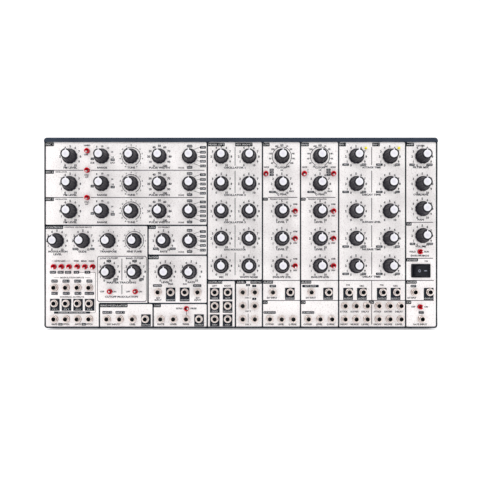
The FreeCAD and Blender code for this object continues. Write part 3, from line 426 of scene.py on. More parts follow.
def piece(name, mesh, body=CASE, matrix=None, nodes=(), crease=35):
    """Puts a mesh in the scene as one piece that rides on a body."""
    made = bpy.data.objects.new(name, mesh)
    bpy.context.scene.collection.objects.link(made)
    if matrix is not None:
        made.matrix_world = matrix
    if crease:
        mesh.set_sharp_from_angle(angle=math.radians(crease))
    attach(made, body)
    if nodes:
        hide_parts(*nodes)
    return made


def seat(point):
    """Local frame of something that stands on the panel: x right, y up, z out."""
    return Matrix.Translation(Vector((point.x, FACE, point.z))) @ OUT_OF_PANEL


def panel_offset(point):
    """The same, for a solid gathered in panel mm: x across, y up, z out, from the panel's corner."""
    across, down = on_panel(point)
    return Matrix.Translation(Vector((across, -down, 0)))


PANEL_FRAME = Matrix.Translation(Vector((LEFT, FACE, TOP))) @ OUT_OF_PANEL


# ---------------- knobs

FLUTES = 12
FLUTE_DEEP = 0.5
FLUTE_RING = 7.6  # flutes cut what lies outside this radius
SKIRT_HIGH = 3.4  # heights above the panel
BARREL_LOW = 4.2
BARREL_HIGH = 17.0
RIB_FADE = 1.2
BARREL_WIDE = 7.3  # radii
CROWN_WIDE = 5.55


def fluted(radius, height, angle):
    """Finger flutes round the skirt, and shallow ribs up the barrel."""
    wave = 0.5 + 0.5 * math.cos(FLUTES * angle)
    if height <= SKIRT_HIGH:
        return radius - FLUTE_DEEP * wave**3 if radius > FLUTE_RING else radius
    if BARREL_LOW < height < BARREL_HIGH:
        fade = min(1.0, (height - BARREL_LOW) / RIB_FADE, (BARREL_HIGH - height) / RIB_FADE)
        return radius - FLUTE_DEEP * fade * wave**1.5
    return radius


def barrel_ring(height):
    """The barrel tapers evenly from the skirt to the crown."""
    return height, BARREL_WIDE + (CROWN_WIDE - BARREL_WIDE) * (height - 3.6) / 13.6


def knob_mesh():
    """The knob, hollow over the nut, with the potentiometer's shaft inside."""
    hollow = [(3.2, 0), (3.2, 6.0), (3.0, 6.25), (1.0, 6.3)]
    skirt = [
        (1.0, 7.95), (1.12, 8.22), (1.35, 8.35), (2.2, 8.35), (3.1, 8.32), (3.42, 8.2), (3.58, 7.95),
        (3.62, 7.45), (3.8, 7.3),
    ]
    barrel = [(4.1, 7.22)] + [barrel_ring(h) for h in (5.4, 8.0, 10.5, 13.0, 15.8, BARREL_HIGH)]
    crown = [
        (17.42, 5.50), (17.62, 5.36), (17.7, 5.14), (17.7, 4.20), (17.62, 4.10), (17.2, 4.05), (17.2, 0),
    ]
    s = Solid()
    s.lathe(hollow + skirt + barrel + crown, 96, 0, fluted)
    s.lathe([(-6.0, 0), (-6.0, 2.8), (-5.8, 3.0), (3.25, 3.0)], 32, 1)
    return s.mesh("knob", ["knob_black", "zinc_steel"])


def cap_mesh():
    """The dished cap, its pointer across the crown, and the pointer's turned-down end."""
    s = Solid()
    s.lathe(
        [(17.0, 0), (17.0, 3.95), (17.72, 3.98), (17.90, 3.90), (17.98, 3.72), (18.0, 3.45), (18.0, 3.0),
         (17.93, 2.75), (17.88, 2.3), (17.87, 0)], 64
    )
    s.prism([(0.58, 3.5), (0.55, 5.36), (-0.55, 5.36), (-0.58, 3.5)], 16.9, 17.78)
    s.add(
        [(-0.55, 5.2, 15.4), (0.55, 5.2, 15.4), (0.55, 5.2, 17.5), (-0.55, 5.2, 17.5),
         (-0.5, 5.73, 15.5), (0.5, 5.73, 15.5), (0.52, 5.42, 17.7), (-0.52, 5.42, 17.7)],
        [(0, 1, 2, 3), (7, 6, 5, 4), (0, 4, 5, 1), (1, 5, 6, 2), (2, 6, 7, 3), (3, 7, 4, 0)], 0, False,
    )
    return s.mesh("cap", ["cap_white"])


KNOB = knob_mesh()
CAP = cap_mesh()
for body, point in JOINT_AT.items():
    if body.endswith("_knob"):
        piece(body + "_grip", KNOB, body, seat(point), [body])
        piece(body + "_cap", CAP, body, seat(point))
for number, point in enumerate(STILL_KNOBS, start=1):
    piece("still_knob_{:02d}_grip".format(number), KNOB, CASE, seat(point), ["other_knobs"])
    piece("still_knob_{:02d}_cap".format(number), CAP, CASE, seat(point))


# ---------------- patch sockets

NUT_RADIUS = 4.2
KNURLS = 36
KNURL_DEEP = 0.07
NOSE_RADIUS = 3.0
THREAD_PITCH = 0.35
SOCKET_HALF = (4.5, 5.0)  # half the width and height of the moulded body
PANEL_THICK = (PANEL_BACK - FACE) / MM


def knurled(radius, height, angle):
    """Grip notches round the widest part of a nut."""
    if radius < NUT_RADIUS - 0.05:
        return radius
    return radius - KNURL_DEEP * (0.5 + 0.5 * math.cos(KNURLS * angle))


def socket_nose():
    """Threaded nose: thread and outer wall in painted shade (a dark brown copy of the nickel), a rim in the
    lit nickel, and a bore in painted shade (near black).
    """
    s = Solid()
    thread = []
    height = 2.5
    while height < 3.5:
        thread += [(height, NOSE_RADIUS), (height + 0.15, NOSE_RADIUS - 0.14), (height + 0.3, NOSE_RADIUS)]
        height += THREAD_PITCH
    ends = [(h, NOSE_RADIUS) for h in (-PANEL_THICK, 0.0, 2.0)]
    s.lathe(ends + thread + [(3.68, NOSE_RADIUS)], 48, 2)
    s.lathe([(3.68, NOSE_RADIUS), (3.9, 2.9), (4.0, 2.76), (4.0, 2.5), (3.95, 2.36)], 48, 0)
    s.lathe(
        [(3.95, 2.36), (3.7, 2.12), (3.3, 1.88), (3.0, 1.8), (1.0, 1.8), (1.0, 2.1), (-8.9, 2.1), (-8.9, 0)],
        48, 1,
    )
    return s


def socket_nut():
    """Round nut: knurled side in painted shade (a dark brown copy of the nickel), flat top in the lit
    nickel, and a step down to the nose in painted shade.
    """
    side = [(0.0, 3.05), (0.0, NUT_RADIUS), (0.1, NUT_RADIUS), (1.9, NUT_RADIUS), (2.2, 4.08)]
    s = Solid()
    s.lathe(side, 108, 1, knurled)
    s.lathe([(2.2, 4.08), (2.4, 3.82), (2.4, 3.32), (2.3, 3.22)], 48, 0)
    s.lathe([(2.3, 3.22), (2.15, 3.06), (2.0, 3.02)], 48, 1)
    return s


def rear_block(node, half):
    """What a switch or socket shows behind the panel, as deep as its CAD node."""
    depth = (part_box(node)[1].y - FACE) / MM
    s = Solid()
    s.block((-half[0], -half[1], -depth), (half[0], half[1], -PANEL_THICK))
    return s


def stamped(solid, places):
    """One solid repeated at places on the panel."""
    every = Solid()
    for place in places:
        every.stamp(solid, panel_offset(place))
    return every


noses = stamped(socket_nose(), SOCKETS)
nuts = stamped(socket_nut(), SOCKETS)
socket_backs = stamped(rear_block("jack_bodies", SOCKET_HALF), SOCKETS)
piece("patch_socket_noses", noses.mesh("noses", ["nut_nickel", "hole_dark", "nickel_shade"]),
      CASE, PANEL_FRAME, ["jack_bodies"])
piece("patch_socket_bodies", socket_backs.mesh("socket_bodies", ["part_black"]), CASE,
      PANEL_FRAME)
piece("patch_socket_nuts", nuts.mesh("nuts", ["nut_nickel", "nickel_shade"]), CASE,
      PANEL_FRAME, ["jack_nuts"])


# ---------------- toggle switches


BUSH_RADIUS = 2.75
BUSH_SIDE = 3.5  # height where the bush's side ends and its rounded lip begins
THROAT_RADIUS = 1.5
TOGGLE_HALF = (3.5, 4.0)  # half the width and height of the switch body
BALL_RADIUS = 1.3
TIP_RADIUS = 0.95
TIP_CENTRE = 8.55  # from the pivot, as are the lever's other heights
LAMP_RADIUS = 1.5
LAMP_CENTRE = 0.8


def arc(radius, first, last, step, centre=0.0):
    """(height, radius) rings of a ball, every few degrees up from its widest."""
    turns = [math.radians(a) for a in range(first, last + 1, step)]
    return [(centre + radius * math.sin(a), radius * math.cos(a)) for a in turns]


def toggle_bush():
    """Hollow bush: side in painted shade (a darker copy of the red), rounded lip and upper throat in the red
    with its faint painted glow, and a throat whose end is painted shade (near black).
    """
    lip = [(BUSH_SIDE, BUSH_RADIUS), (3.85, 2.71), (4.08, 2.58), (4.18, 2.42), (4.16, 2.28), (4.0, 2.2)]
    s = Solid()
    s.lathe([(h, BUSH_RADIUS) for h in (-PANEL_THICK, 0.0, BUSH_SIDE)], 48, 2)
    s.lathe(lip + [(2.0, 1.98), (0.0, 1.76)], 48, 0)
    s.lathe([(0.0, 1.76), (-2.4, THROAT_RADIUS)], 48, 0)
    s.lathe([(-2.4, THROAT_RADIUS), (-4.4, THROAT_RADIUS), (-4.4, 0)], 48, 1)
    return s


def lever_solid():
    """A bat-shaped lever on a ball, on its own axis from the pivot."""
    ball = arc(BALL_RADIUS, -75, 45, 15)
    tip = arc(TIP_RADIUS, 0, 75, 15, TIP_CENTRE)
    s = Solid()
    s.lathe([(-BALL_RADIUS, 0), *ball, (1.35, 0.74), (4.5, 0.82), *tip, (TIP_CENTRE + TIP_RADIUS, 0)], 32)
    return s


bushes = stamped(toggle_bush(), TOGGLES)
toggle_backs = stamped(rear_block("toggle_switch_bodies", TOGGLE_HALF), TOGGLES)
piece("toggle_bushes", bushes.mesh("bushes", ["bush_red", "hole_dark", "bush_side"]),
      CASE, PANEL_FRAME, ["toggle_switch_bodies"])
piece("toggle_backs", toggle_backs.mesh("toggle_backs", ["part_black"]), CASE, PANEL_FRAME)

THROW = math.radians(11)
LEANING = 1.6  # mm that a lever reaches to a side when it isn't in its middle place
PIVOT = Matrix.Translation(Vector((0, 0, -2.5)))
LEANS = {
    "down": Matrix.Rotation(THROW, 4, "X"),
    "up": Matrix.Rotation(-THROW, 4, "X"),
    "right": Matrix.Rotation(THROW, 4, "Y"),
    "left": Matrix.Rotation(-THROW, 4, "Y"),
    "mid": Matrix.Identity(4),
}


def lean_of(corners, centre):
    """Which way a CAD lever leans from its bushing's centre."""
    lo, hi = corners
    reach = {
        "right": hi.x - centre.x, "left": centre.x - lo.x, "up": hi.z - centre.z, "down": centre.z - lo.z,
    }
    way = max(reach, key=reach.get)
    return way if reach[way] > LEANING * MM else "mid"


LEVER = lever_solid()
still_levers = Solid()
for corners in loose_boxes("other_toggle_levers"):
    centre = min(TOGGLES, key=lambda t: (t.x - middle(corners).x) ** 2 + (t.z - middle(corners).z) ** 2)
    still_levers.stamp(LEVER, panel_offset(centre) @ PIVOT @ LEANS[lean_of(corners, centre)])
piece("still_toggle_levers", still_levers.mesh("levers", ["lever_metal"]), CASE, PANEL_FRAME,
      ["other_toggle_levers"])
lever = LEVER.mesh("lever", ["lever_metal"])
for body, point in JOINT_AT.items():
    if body.endswith("_lever"):
        matrix = Matrix.Translation(point) @ OUT_OF_PANEL @ LEANS["down"]
        piece(body + "_bat", lever, body, matrix, [body])


# ---------------- lamps


def lamp_solid():
    """A lamp with a domed end."""
    dome = arc(LAMP_RADIUS, 0, 80, 10, LAMP_CENTRE)
    s = Solid()
    s.lathe([(-4.0, 0), (-4.0, LAMP_RADIUS), *dome, (LAMP_CENTRE + LAMP_RADIUS, 0)], 32)
    return s


lamps = stamped(lamp_solid(), LAMPS)
piece("envelope_lamp_domes", lamps.mesh("lamps", ["lamp_yellow"]), CASE, PANEL_FRAME,
      ["envelope_lamps"])


# ---------------- power switch

BEZEL_HALF = (10.5, 7.5)  # half widths and heights
WELL_HALF = (8.75, 5.7)
HOUSING_HALF = (9.5, 6.45)
BEZEL_HIGH = 1.6
WELL_DEEP = 9.0
HOUSING_DEEP = 14.0
ROCKER_THROW = math.radians(14)
DRUM_RADIUS = 8.65
DRUM_LOW = -3.0  # from the pivot, as is the valley
VALLEY = 3.3
AXLE_HALF = 6.1


def rounded(x0, y0, x1, y1, radius, steps=5):
    """Anticlockwise outline of a rectangle with rounded corners."""
    outline = []
    for cx, cy, start in ((x1 - radius, y0 + radius, -90), (x1 - radius, y1 - radius, 0),
                          (x0 + radius, y1 - radius, 90), (x0 + radius, y0 + radius, 180)):
        for step in range(steps + 1):
            angle = math.radians(start + 90 * step / steps)
            outline.append((cx + radius * math.cos(angle), cy + radius * math.sin(angle)))
    return outline


def centred(half, grow, radius):
    """A rounded rectangle round the middle, with a margin added to its half size."""
    x, y = half[0] + grow, half[1] + grow
    return rounded(-x, -y, x, y, radius)


def strip(rows, n):
    """Faces between rows of n points that each close on themselves."""
    return [
        (row * n + i, row * n + (i + 1) % n, (row + 1) * n + (i + 1) % n, (row + 1) * n + i)
        for row in range(rows - 1) for i in range(n)
    ]


def switch_housing():
    """The housing with its bezel and well, closed behind, and its two blades."""
    outlines = [(centred(half, grow, radius), z) for half, grow, radius, z in (
        (HOUSING_HALF, 0, 0.3, -HOUSING_DEEP), (HOUSING_HALF, 0, 0.3, -0.02), (BEZEL_HALF, 0, 0.9, 0.0),
        (BEZEL_HALF, 0, 0.9, 1.1), (BEZEL_HALF, -0.15, 0.85, 1.42), (BEZEL_HALF, -0.5, 0.7, BEZEL_HIGH),
        (WELL_HALF, 0.3, 0.6, BEZEL_HIGH), (WELL_HALF, 0.08, 0.5, 1.5), (WELL_HALF, 0, 0.4, 1.25),
        (WELL_HALF, 0, 0.4, -WELL_DEEP),
    )]
    s = Solid()
    around = len(outlines[0][0])
    s.add([(x, y, z) for outline, z in outlines for x, y in outline], strip(len(outlines), around))
    s.prism(centred(WELL_HALF, 0, 0.4), -WELL_DEEP - 0.2, -WELL_DEEP)
    s.prism(centred(HOUSING_HALF, 0, 0.3), -HOUSING_DEEP - 0.2, -HOUSING_DEEP)
    for x in (-5, 5):
        s.block((x - 0.4, -2.4, -22.0), (x + 0.4, 2.4, -HOUSING_DEEP), 1)
    return s


def slope_at(x):
    """Height of the rocker's sloping face, x mm from its middle."""
    return VALLEY + x * math.tan(ROCKER_THROW)


def rocker_outline():
    """Side profile of the rocker about its pivot: a drum with a shallow V cut in its face."""
    start, end = math.asin(DRUM_LOW / DRUM_RADIUS), math.radians(33.5)
    turns = [start + (end - start) * i / 10 for i in range(11)]
    drum = [(DRUM_RADIUS * math.cos(a), DRUM_RADIUS * math.sin(a)) for a in turns]
    slope = [(x, slope_at(x)) for x in (6.6, 5.4, 4.0, 2.6, 1.3)]
    right = drum + [(7.15, 4.87), (6.95, 4.98)] + slope
    bottom = [(0.6, VALLEY + 0.19), (0.0, VALLEY + 0.12), (-0.6, VALLEY + 0.19)]
    return right + bottom + [(-x, z) for x, z in reversed(right)]


def rocker_solid():
    """The rocker with rounded ends, its two printed marks and its axle."""
    outline = rocker_outline()
    n = len(outline)
    cx = sum(x for x, z in outline) / n
    cz = sum(z for x, z in outline) / n
    end = ((4.9, 0.0), (5.2, 0.05), (5.42, 0.2), (5.5, 0.45))
    rows = [(-y, shrink) for y, shrink in reversed(end)] + list(end)
    points = []
    for y, shrink in rows:
        for x, z in outline:
            away = Vector((x - cx, z - cz))
            shrunk = away * (1 - shrink / away.length)
            points.append((cx + shrunk.x, y, cz + shrunk.y))
    faces = [tuple(range(n)), tuple(reversed(range((len(rows) - 1) * n, len(rows) * n)))]
    faces += [(a, d, c, b) for a, b, c, d in strip(len(rows), n)]
    s = Solid()
    s.add(points, faces)
    circle, bar, axle = Solid(), Solid(), Solid()
    circle.lathe([(0.0, 0.95), (0.06, 0.95), (0.06, 1.7), (0.0, 1.7)], 32, 1)
    bar.prism(rounded(-1.5, -0.5, 1.5, 0.5, 0.2, 3), 0.0, 0.06, 1)
    axle.lathe([(-AXLE_HALF, 0), (-AXLE_HALF, 1.0), (AXLE_HALF, 1.0), (AXLE_HALF, 0)], 24)
    for sign, mark, x in ((-1, circle, 3.6), (1, bar, 3.9)):
        turn = Matrix.Rotation(-sign * ROCKER_THROW, 4, "Y")
        s.stamp(mark, Matrix.Translation(Vector((sign * x, 0, slope_at(x) + 0.005))) @ turn)
    s.stamp(axle, Matrix.Rotation(math.radians(90), 4, "X"))
    return s


rocker_at = JOINT_AT["power_rocker"]
piece("power_switch_bezel", switch_housing().mesh("housing", ["switch_black", "zinc_steel"]),
      CASE, seat(rocker_at), ["power_switch_housing"])
piece("power_rocker_paddle", rocker_solid().mesh("paddle", ["switch_black", "ink_dim"]),
      "power_rocker", Matrix.Translation(rocker_at) @ OUT_OF_PANEL @ Matrix.Rotation(ROCKER_THROW, 4, "Y"),
      ["power_rocker"])


# ---------------- printed graphics

INK = "screen_ink"
GREY = "ink_grey"
PALE = "ink_pale"
INK_HIGH = 0.05  # mm that the ink stands on the enamel
PALE_HIGH = 0.09  # pale letters over a dark tag
SUNK = -0.02  # where printed shapes begin, under the enamel's face
THICK = 1.6
FINE = 0.8
HAIR = 0.45
EDGE = 1.8  # mm, the dark outline round the panel
CORNER = 3.5
LETTER_SCALE = 1.15
SPREAD = 1.3  # the most that a word is stretched

PANEL_WIDE = 432.0
PANEL_HIGH = 209.0
LIP = 4.7  # of the top cover, over the panel's upper edge
FIRST_ROW = 20.5  # mm down, of the highest knobs
ROW_PITCH = 30.0
MASTER_ROW = 113.0
LOWER_ROW = 147.0

prints = {ink: Solid() for ink in (INK, GREY, PALE)}
letters = {ink: Solid() for ink in (INK, GREY, PALE)}


def patch(x0, y0, x1, y1, ink=INK, radius=0.0):
    """A printed rectangle, in mm across and down."""
    high = PALE_HIGH if ink == PALE else INK_HIGH
    if radius:
        prints[ink].prism(rounded(x0, -y1, x1, -y0, radius, 3), SUNK, high)
    else:
        prints[ink].block((x0, -y1, SUNK), (x1, -y0, high))


def post(x, y0, y1, wide=THICK, ink=INK):
    patch(x - wide / 2, y0, x + wide / 2, y1, ink)


def rail(y, x0, x1, wide=THICK, ink=INK):
    patch(x0, y - wide / 2, x1, y + wide / 2, ink)


def fillet(x, y, sx, sy, radius=1.6):
    """Rounds the inner corner whose edges meet at (x, y) and open towards (sx, sy)."""
    outline = [(x, -y)]
    for step in range(6):
        angle = math.radians(90 * step / 5)
        outline.append((x + sx * radius * (1 - math.sin(angle)), -(y + sy * radius * (1 - math.cos(angle)))))
    area = sum(a[0] * b[1] - b[0] * a[1] for a, b in zip(outline, outline[1:] + outline[:1]))
    prints[INK].prism(outline if area > 0 else outline[::-1], SUNK, INK_HIGH)


def cell(x0, y0, x1, y1):
    """Rounds the four inner corners of a boxed section."""
    for x, sx in ((x0, 1), (x1, -1)):
        for y, sy in ((y0, 1), (y1, -1)):
            fillet(x, y, sx, sy)


GLYPHS = {}


def glyph(text, bold):
    """The solid of a short text, 1 mm high capitals, centred at the origin."""
    if (text, bold) not in GLYPHS:
        curve = bpy.data.curves.new("glyph", "FONT")
        curve.body = text
        curve.size = 1.0
        curve.resolution_u = 2
        curve.offset = bold
        curve.align_x = "CENTER"
        holder = bpy.data.objects.new("glyph", curve)
        bpy.context.scene.collection.objects.link(holder)
        bpy.context.view_layer.update()
        mesh = bpy.data.meshes.new_from_object(holder)
        bm = bmesh.new()
        bm.from_mesh(mesh)
        bmesh.ops.remove_doubles(bm, verts=bm.verts, dist=0.0005)
        bmesh.ops.dissolve_limit(bm, angle_limit=0.05, verts=bm.verts, edges=bm.edges)
        for f in bm.faces:
            if f.normal.z < 0:
                f.normal_flip()
        ends = bmesh.ops.extrude_face_region(bm, geom=list(bm.faces))
        tops = {v for v in ends["geom"] if isinstance(v, bmesh.types.BMVert)}
        lows = [v for v in bm.verts if v not in tops]
        for v in tops:
            v.co.z = 1.0
        for v in lows:
            v.co.z = 0.0
        bmesh.ops.recalc_face_normals(bm, faces=bm.faces)
        capital = 0.70
        solid = Solid()
        bm.verts.index_update()
        points = [Vector((v.co.x / capital, (v.co.y - capital / 2) / capital, v.co.z)) for v in bm.verts]
        solid.add(points, [[v.index for v in f.verts] for f in bm.faces], 0, False)
        bm.free()
        bpy.data.objects.remove(holder)
        bpy.data.curves.remove(curve)
        bpy.data.meshes.remove(mesh)
        GLYPHS[text, bold] = solid
    return GLYPHS[text, bold]


def word(text, x, y, high=1.7, ink=INK, wide=None):
    """Centred text with capitals of the given height, squeezed or spread to a width if one is given."""
    solid = glyph(text, 0.0 if ink == PALE else 0.045)
    high *= LETTER_SCALE
    squeeze = high
    if wide:
        own = (max(p.x for p in solid.points) - min(p.x for p in solid.points)) * high
        squeeze = high * min(SPREAD, wide / own)
    top = PALE_HIGH if ink == PALE else INK_HIGH
    matrix = Matrix.Translation(Vector((x, -y, -0.01))) @ Matrix.Diagonal((squeeze, high, top + 0.01, 1))
    letters[ink].stamp(solid, matrix)


def tag(text, x0, y0, x1, y1, radius=0.7):
    """A dark label with pale text."""
    patch(x0, y0, x1, y1, INK, radius)
    if text:
        word(text, (x0 + x1) / 2, (y0 + y1) / 2, min(1.6, (y1 - y0) * 0.42), PALE, (x1 - x0) - 1.2)


def header(text, x0, y0, x1, y1):
    """A section's name, dark, in the corner of its box."""
    patch(x0, y0, x1 - 0.8, y1)
    patch(x0, y0, x1, y1, INK, 0.8)
    word(text, (x0 + x1) / 2, (y0 + y1) / 2, (y1 - y0) * 0.42, PALE, (x1 - x0) - 1.4)


def square(text, x0, y0, x1, y1):
    """The dark field of an output socket, its name at the bottom."""
    patch(x0, y0, x1, y1)
    word(text, (x0 + x1) / 2, y1 - 1.6, 1.25, PALE, (x1 - x0) - 1.6)


def dial(x, y, radius=11.2, first=0, last=10, count=11, high=2.0, turn=150.0):
    """Numbers round a knob."""
    for step in range(count):
        angle = math.radians(-turn + 2 * turn * step / (count - 1))
        number = first + (last - first) * step / (count - 1)
        text = str(int(round(number)))
        word(text, x + radius * math.sin(angle), y - radius * math.cos(angle), high)


def band(x, y, inner, outer, start, end, steps=48):
    """A printed arc between two radii and two angles, in degrees clockwise from straight up."""
    outline = []
    for r, order in ((inner, range(steps + 1)), (outer, range(steps, -1, -1))):
        for step in order:
            angle = math.radians(start + (end - start) * step / steps)
            outline.append((x + r * math.sin(angle), -y + r * math.cos(angle)))
    n = len(outline)
    points = [(px, py, z) for z in (SUNK, INK_HIGH) for px, py in outline]
    faces = []
    for i in range(steps):
        a, b, c, d = i, i + 1, n - 2 - i, n - 1 - i
        faces += [(d, c, b, a), (n + a, n + b, n + c, n + d)]
    faces += [(i, (i + 1) % n, n + (i + 1) % n, n + i) for i in range(n)]
    prints[INK].add(points, faces, 0, False)


def ring(x, y, radius, wide=0.6, turn=150.0, ticks=0, reach=0.9):
    """A printed arc round a knob, with ticks."""
    band(x, y, radius, radius + wide, -turn, turn)
    for step in range(ticks):
        angle = math.radians(-turn + 2 * turn * step / (ticks - 1))
        solid = Solid()
        solid.block((-wide / 2, radius, SUNK), (wide / 2, radius + reach, INK_HIGH))
        place = Matrix.Translation(Vector((x, -y, 0))) @ Matrix.Rotation(-angle, 4, "Z")
        prints[INK].stamp(solid, place)


def stroke(x0, y0, x1, y1, wide=0.35, ink=INK):
    """A thin straight line between two points."""
    run = Vector((x1 - x0, y0 - y1))
    solid = Solid()
    solid.block((0, -wide / 2, SUNK), (run.length, wide / 2, INK_HIGH))
    place = Matrix.Translation(Vector((x0, -y0, 0))) @ Matrix.Rotation(math.atan2(run.y, run.x), 4, "Z")
    prints[ink].stamp(solid, place)


def borders():
    """The dark outline, the lines between sections, and the sections' rounded corners."""
    lip, high = LIP, PANEL_HIGH
    post(EDGE / 2, lip, high - CORNER, EDGE)
    post(PANEL_WIDE - EDGE / 2, lip, high - CORNER, EDGE)
    rail(high - EDGE / 2, CORNER, PANEL_WIDE - CORNER, EDGE)
    for across, start in ((CORNER, 180), (PANEL_WIDE - CORNER, 90)):
        band(across, high - CORNER, CORNER - EDGE, CORNER, start, start + 90, 10)
    for x, y0, y1 in (
        (60.6, 181.9, high), (114.0, 96.1, 181.9), (119.6, 181.9, high), (179.1, lip, high),
        (210.0, 156.6, high), (239.7, lip, high), (281.5, lip, high), (323.4, lip, high), (397.0, lip, high),
    ):
        post(x, y0, y1)
    for y, x0, x1 in (
        (96.1, 0, 179.1), (128.9, 114, 179.1), (181.9, 60.6, 179.1), (156.6, 179.1, 239.7),
    ):
        rail(y, x0, x1)
    for y in (35.6, 65.5):
        rail(y, 1.0, 43.0, FINE, GREY)
        rail(y, 51.0, 176.0, FINE, GREY)
    for y0, y1 in ((10, 30.5), (36, 60.5), (66, 90.5), (96, 120.5), (126, 151)):
        post(209.6, y0, y1, FINE, GREY)
    for y0, y1 in ((10, 30), (36, 60), (66, 90), (96, 120), (125.5, 150), (156.8, 178.5), (183, 205)):
        post(359.7, y0, y1, FINE, GREY)
    for x0, x1 in ((240.5, 280.8), (282.3, 322.6), (324.2, 396.2), (397.8, 428)):
        rail(156.6, x0, x1, FINE, GREY)
        rail(178.6, x0, x1, FINE, GREY)
    for x in (246, 288):
        rail(65.4, x, x + 32, FINE, GREY)
    for y in (92.8, 132.3):
        rail(y, 398, 427, FINE, GREY)
    for x0, y0, x1, y1 in (
        (1.6, lip, 178.4, 95.4), (1.6, 96.8, 113.3, high - 1.6), (114.7, 96.8, 178.4, 128.2),
        (114.7, 129.6, 178.4, 181.2), (61.3, 182.6, 118.9, high - 1.3), (120.3, 182.6, 178.4, high - 1.3),
        (179.8, lip, 239.0, 155.9), (179.8, 157.3, 209.3, high - 1.3), (210.7, 157.3, 239.0, high - 1.3),
        (240.4, lip, 280.8, high - 1.3), (282.2, lip, 322.7, high - 1.3), (324.1, lip, 396.3, high - 1.3),
        (397.7, lip, 430.4, high - 1.6),
    ):
        cell(x0, y0, x1, y1)


def headers():
    for text, x0, y0, x1, y1 in (
        ("OSC 1", 1.2, 5.0, 10.7, 9.2), ("OSC 2", 1.2, 35.4, 10.7, 39.4), ("OSC 3", 1.2, 65.3, 10.7, 69.4),
        ("CONTROLS", 1.2, 96.3, 20.8, 100.1), ("LFO", 114.5, 96.3, 122.6, 100.1),
        ("NOISE", 114.5, 129.2, 125.8, 133.4), ("RING MODULATOR", 61.2, 182.2, 91.6, 186.1),
        ("SYNC", 120.2, 182.2, 128.2, 186.1), ("MIXER LEFT", 179.7, 5.2, 198.3, 9.3),
        ("MIX RIGHT", 209.5, 5.2, 228.8, 9.3), ("LOW", 240.2, 5.2, 247.6, 9.3),
        ("BAND", 282.0, 5.2, 290.8, 9.3),
        ("ENV 1", 323.9, 5.2, 331.6, 9.3), ("ENV 2", 360.3, 5.2, 368.8, 9.3),
        ("AMP", 397.5, 5.2, 406.3, 9.3),
        ("VCA", 397.5, 92.6, 403.6, 96.4), ("POWER", 397.5, 132.3, 410.6, 135.8),
        ("AUDIO", 240.2, 156.6, 251.4, 160.2), ("AUDIO", 282.0, 156.6, 293.4, 160.2),
        ("AUDIO", 397.5, 156.6, 409.2, 160.2),
        ("CV", 240.2, 178.8, 245.5, 182.5), ("CV", 282.0, 178.8, 287.2, 182.5),
        ("CV", 356.6, 178.8, 362.2, 182.3), ("CV", 397.5, 178.8, 403.2, 182.5),
        ("FM", 240.2, 65.6, 245.7, 69.0), ("FM", 282.0, 65.6, 287.2, 69.0),
        ("OUTPUTS", 179.7, 156.6, 195.6, 160.3), ("LEVEL", 210.4, 156.6, 221.8, 160.3),
        ("WIDTH", 226.5, 156.6, 239.0, 160.3),
    ):
        header(text, x0, y0, x1, y1)


def oscillators():
    for top in (0.0, ROW_PITCH, 2 * ROW_PITCH):
        y = FIRST_ROW + top
        label = y + 12.2
        dial(28.5, y)
        word("FM LEVEL", 28.5, label, wide=15)
        for across, down, text in (
            (57.6, 9.6, "8"), (63.5, 9.2, "10"), (70.0, 11.0, "12"), (74.4, 15.4, "14"), (75.0, 21.0, "16"),
        ):
            word(text, across, down + top)
        tag("LO", 50.9, 21.6 + top, 54.6, 24.4 + top, 0.3)
        tag("HI", 72.9, 22.6 + top, 77.4, 25.4 + top, 0.3)
        word("RANGE", 63.5, label, wide=11)
        ring(95.5, y, 9.9, ticks=21, reach=1.0)
        dial(95.5, y, 12.6, -6, 6, 13, 1.4)
        word("TUNE", 95.5, label, wide=8.5)
        dial(126.5, y, 11.8, 0, 100)
        word("PULSE WIDTH", 126.5, label, wide=24)
        selector(y)
    word("SUB", 52.8, 27.3, 1.6, GREY, wide=4.5)
    word("LFO", 75.0, 27.3, 1.6, GREY, wide=5)
    word("HARD", 47.0, 8.2, 1.5, wide=7)
    word("OFF", 46.0, 18.4, 1.5)
    for down in (40.8, 70.6):
        word("SYNC", 46.6, down, 1.5, wide=5)
        word("OFF", 46.6, down + 2.3, 1.3)
    for down in (37.4, 67.4):
        word("OSCILLATOR", 18.5, down, 1.2, GREY, wide=13)


def selector(y, across=159.75):
    """Tags round a waveform selector, each with its leader line."""
    x = across
    tag("SINE", x - 3.1, y - 12.9, x + 2.9, y - 10.0)
    tag("MIX", x - 3.1, y + 10.5, x + 2.9, y + 13.4)
    sides = (("TRI", -10.1), ("SAW", -4.8), ("RAMP", 0.2), ("SQR", 5.2), ("PULSE", 10.3))
    for number, (text, drop) in enumerate(sides, start=1):
        middle_y = y + drop
        tag(text, x + 11.2, middle_y - 1.5, x + 17.8, middle_y + 1.5)
        angle = math.radians(number * 30)
        sx, sy = x + 8.9 * math.sin(angle), y - 8.9 * math.cos(angle)
        stroke(sx, sy, x + 11.4, middle_y, 0.4, GREY)
    stroke(x, y - 10.2, x, y - 8.9, 0.4, GREY)
    stroke(x, y + 8.9, x, y + 10.7, 0.4, GREY)
    word("WAVE", x - 9.4, y + 12.4, 1.4, GREY)


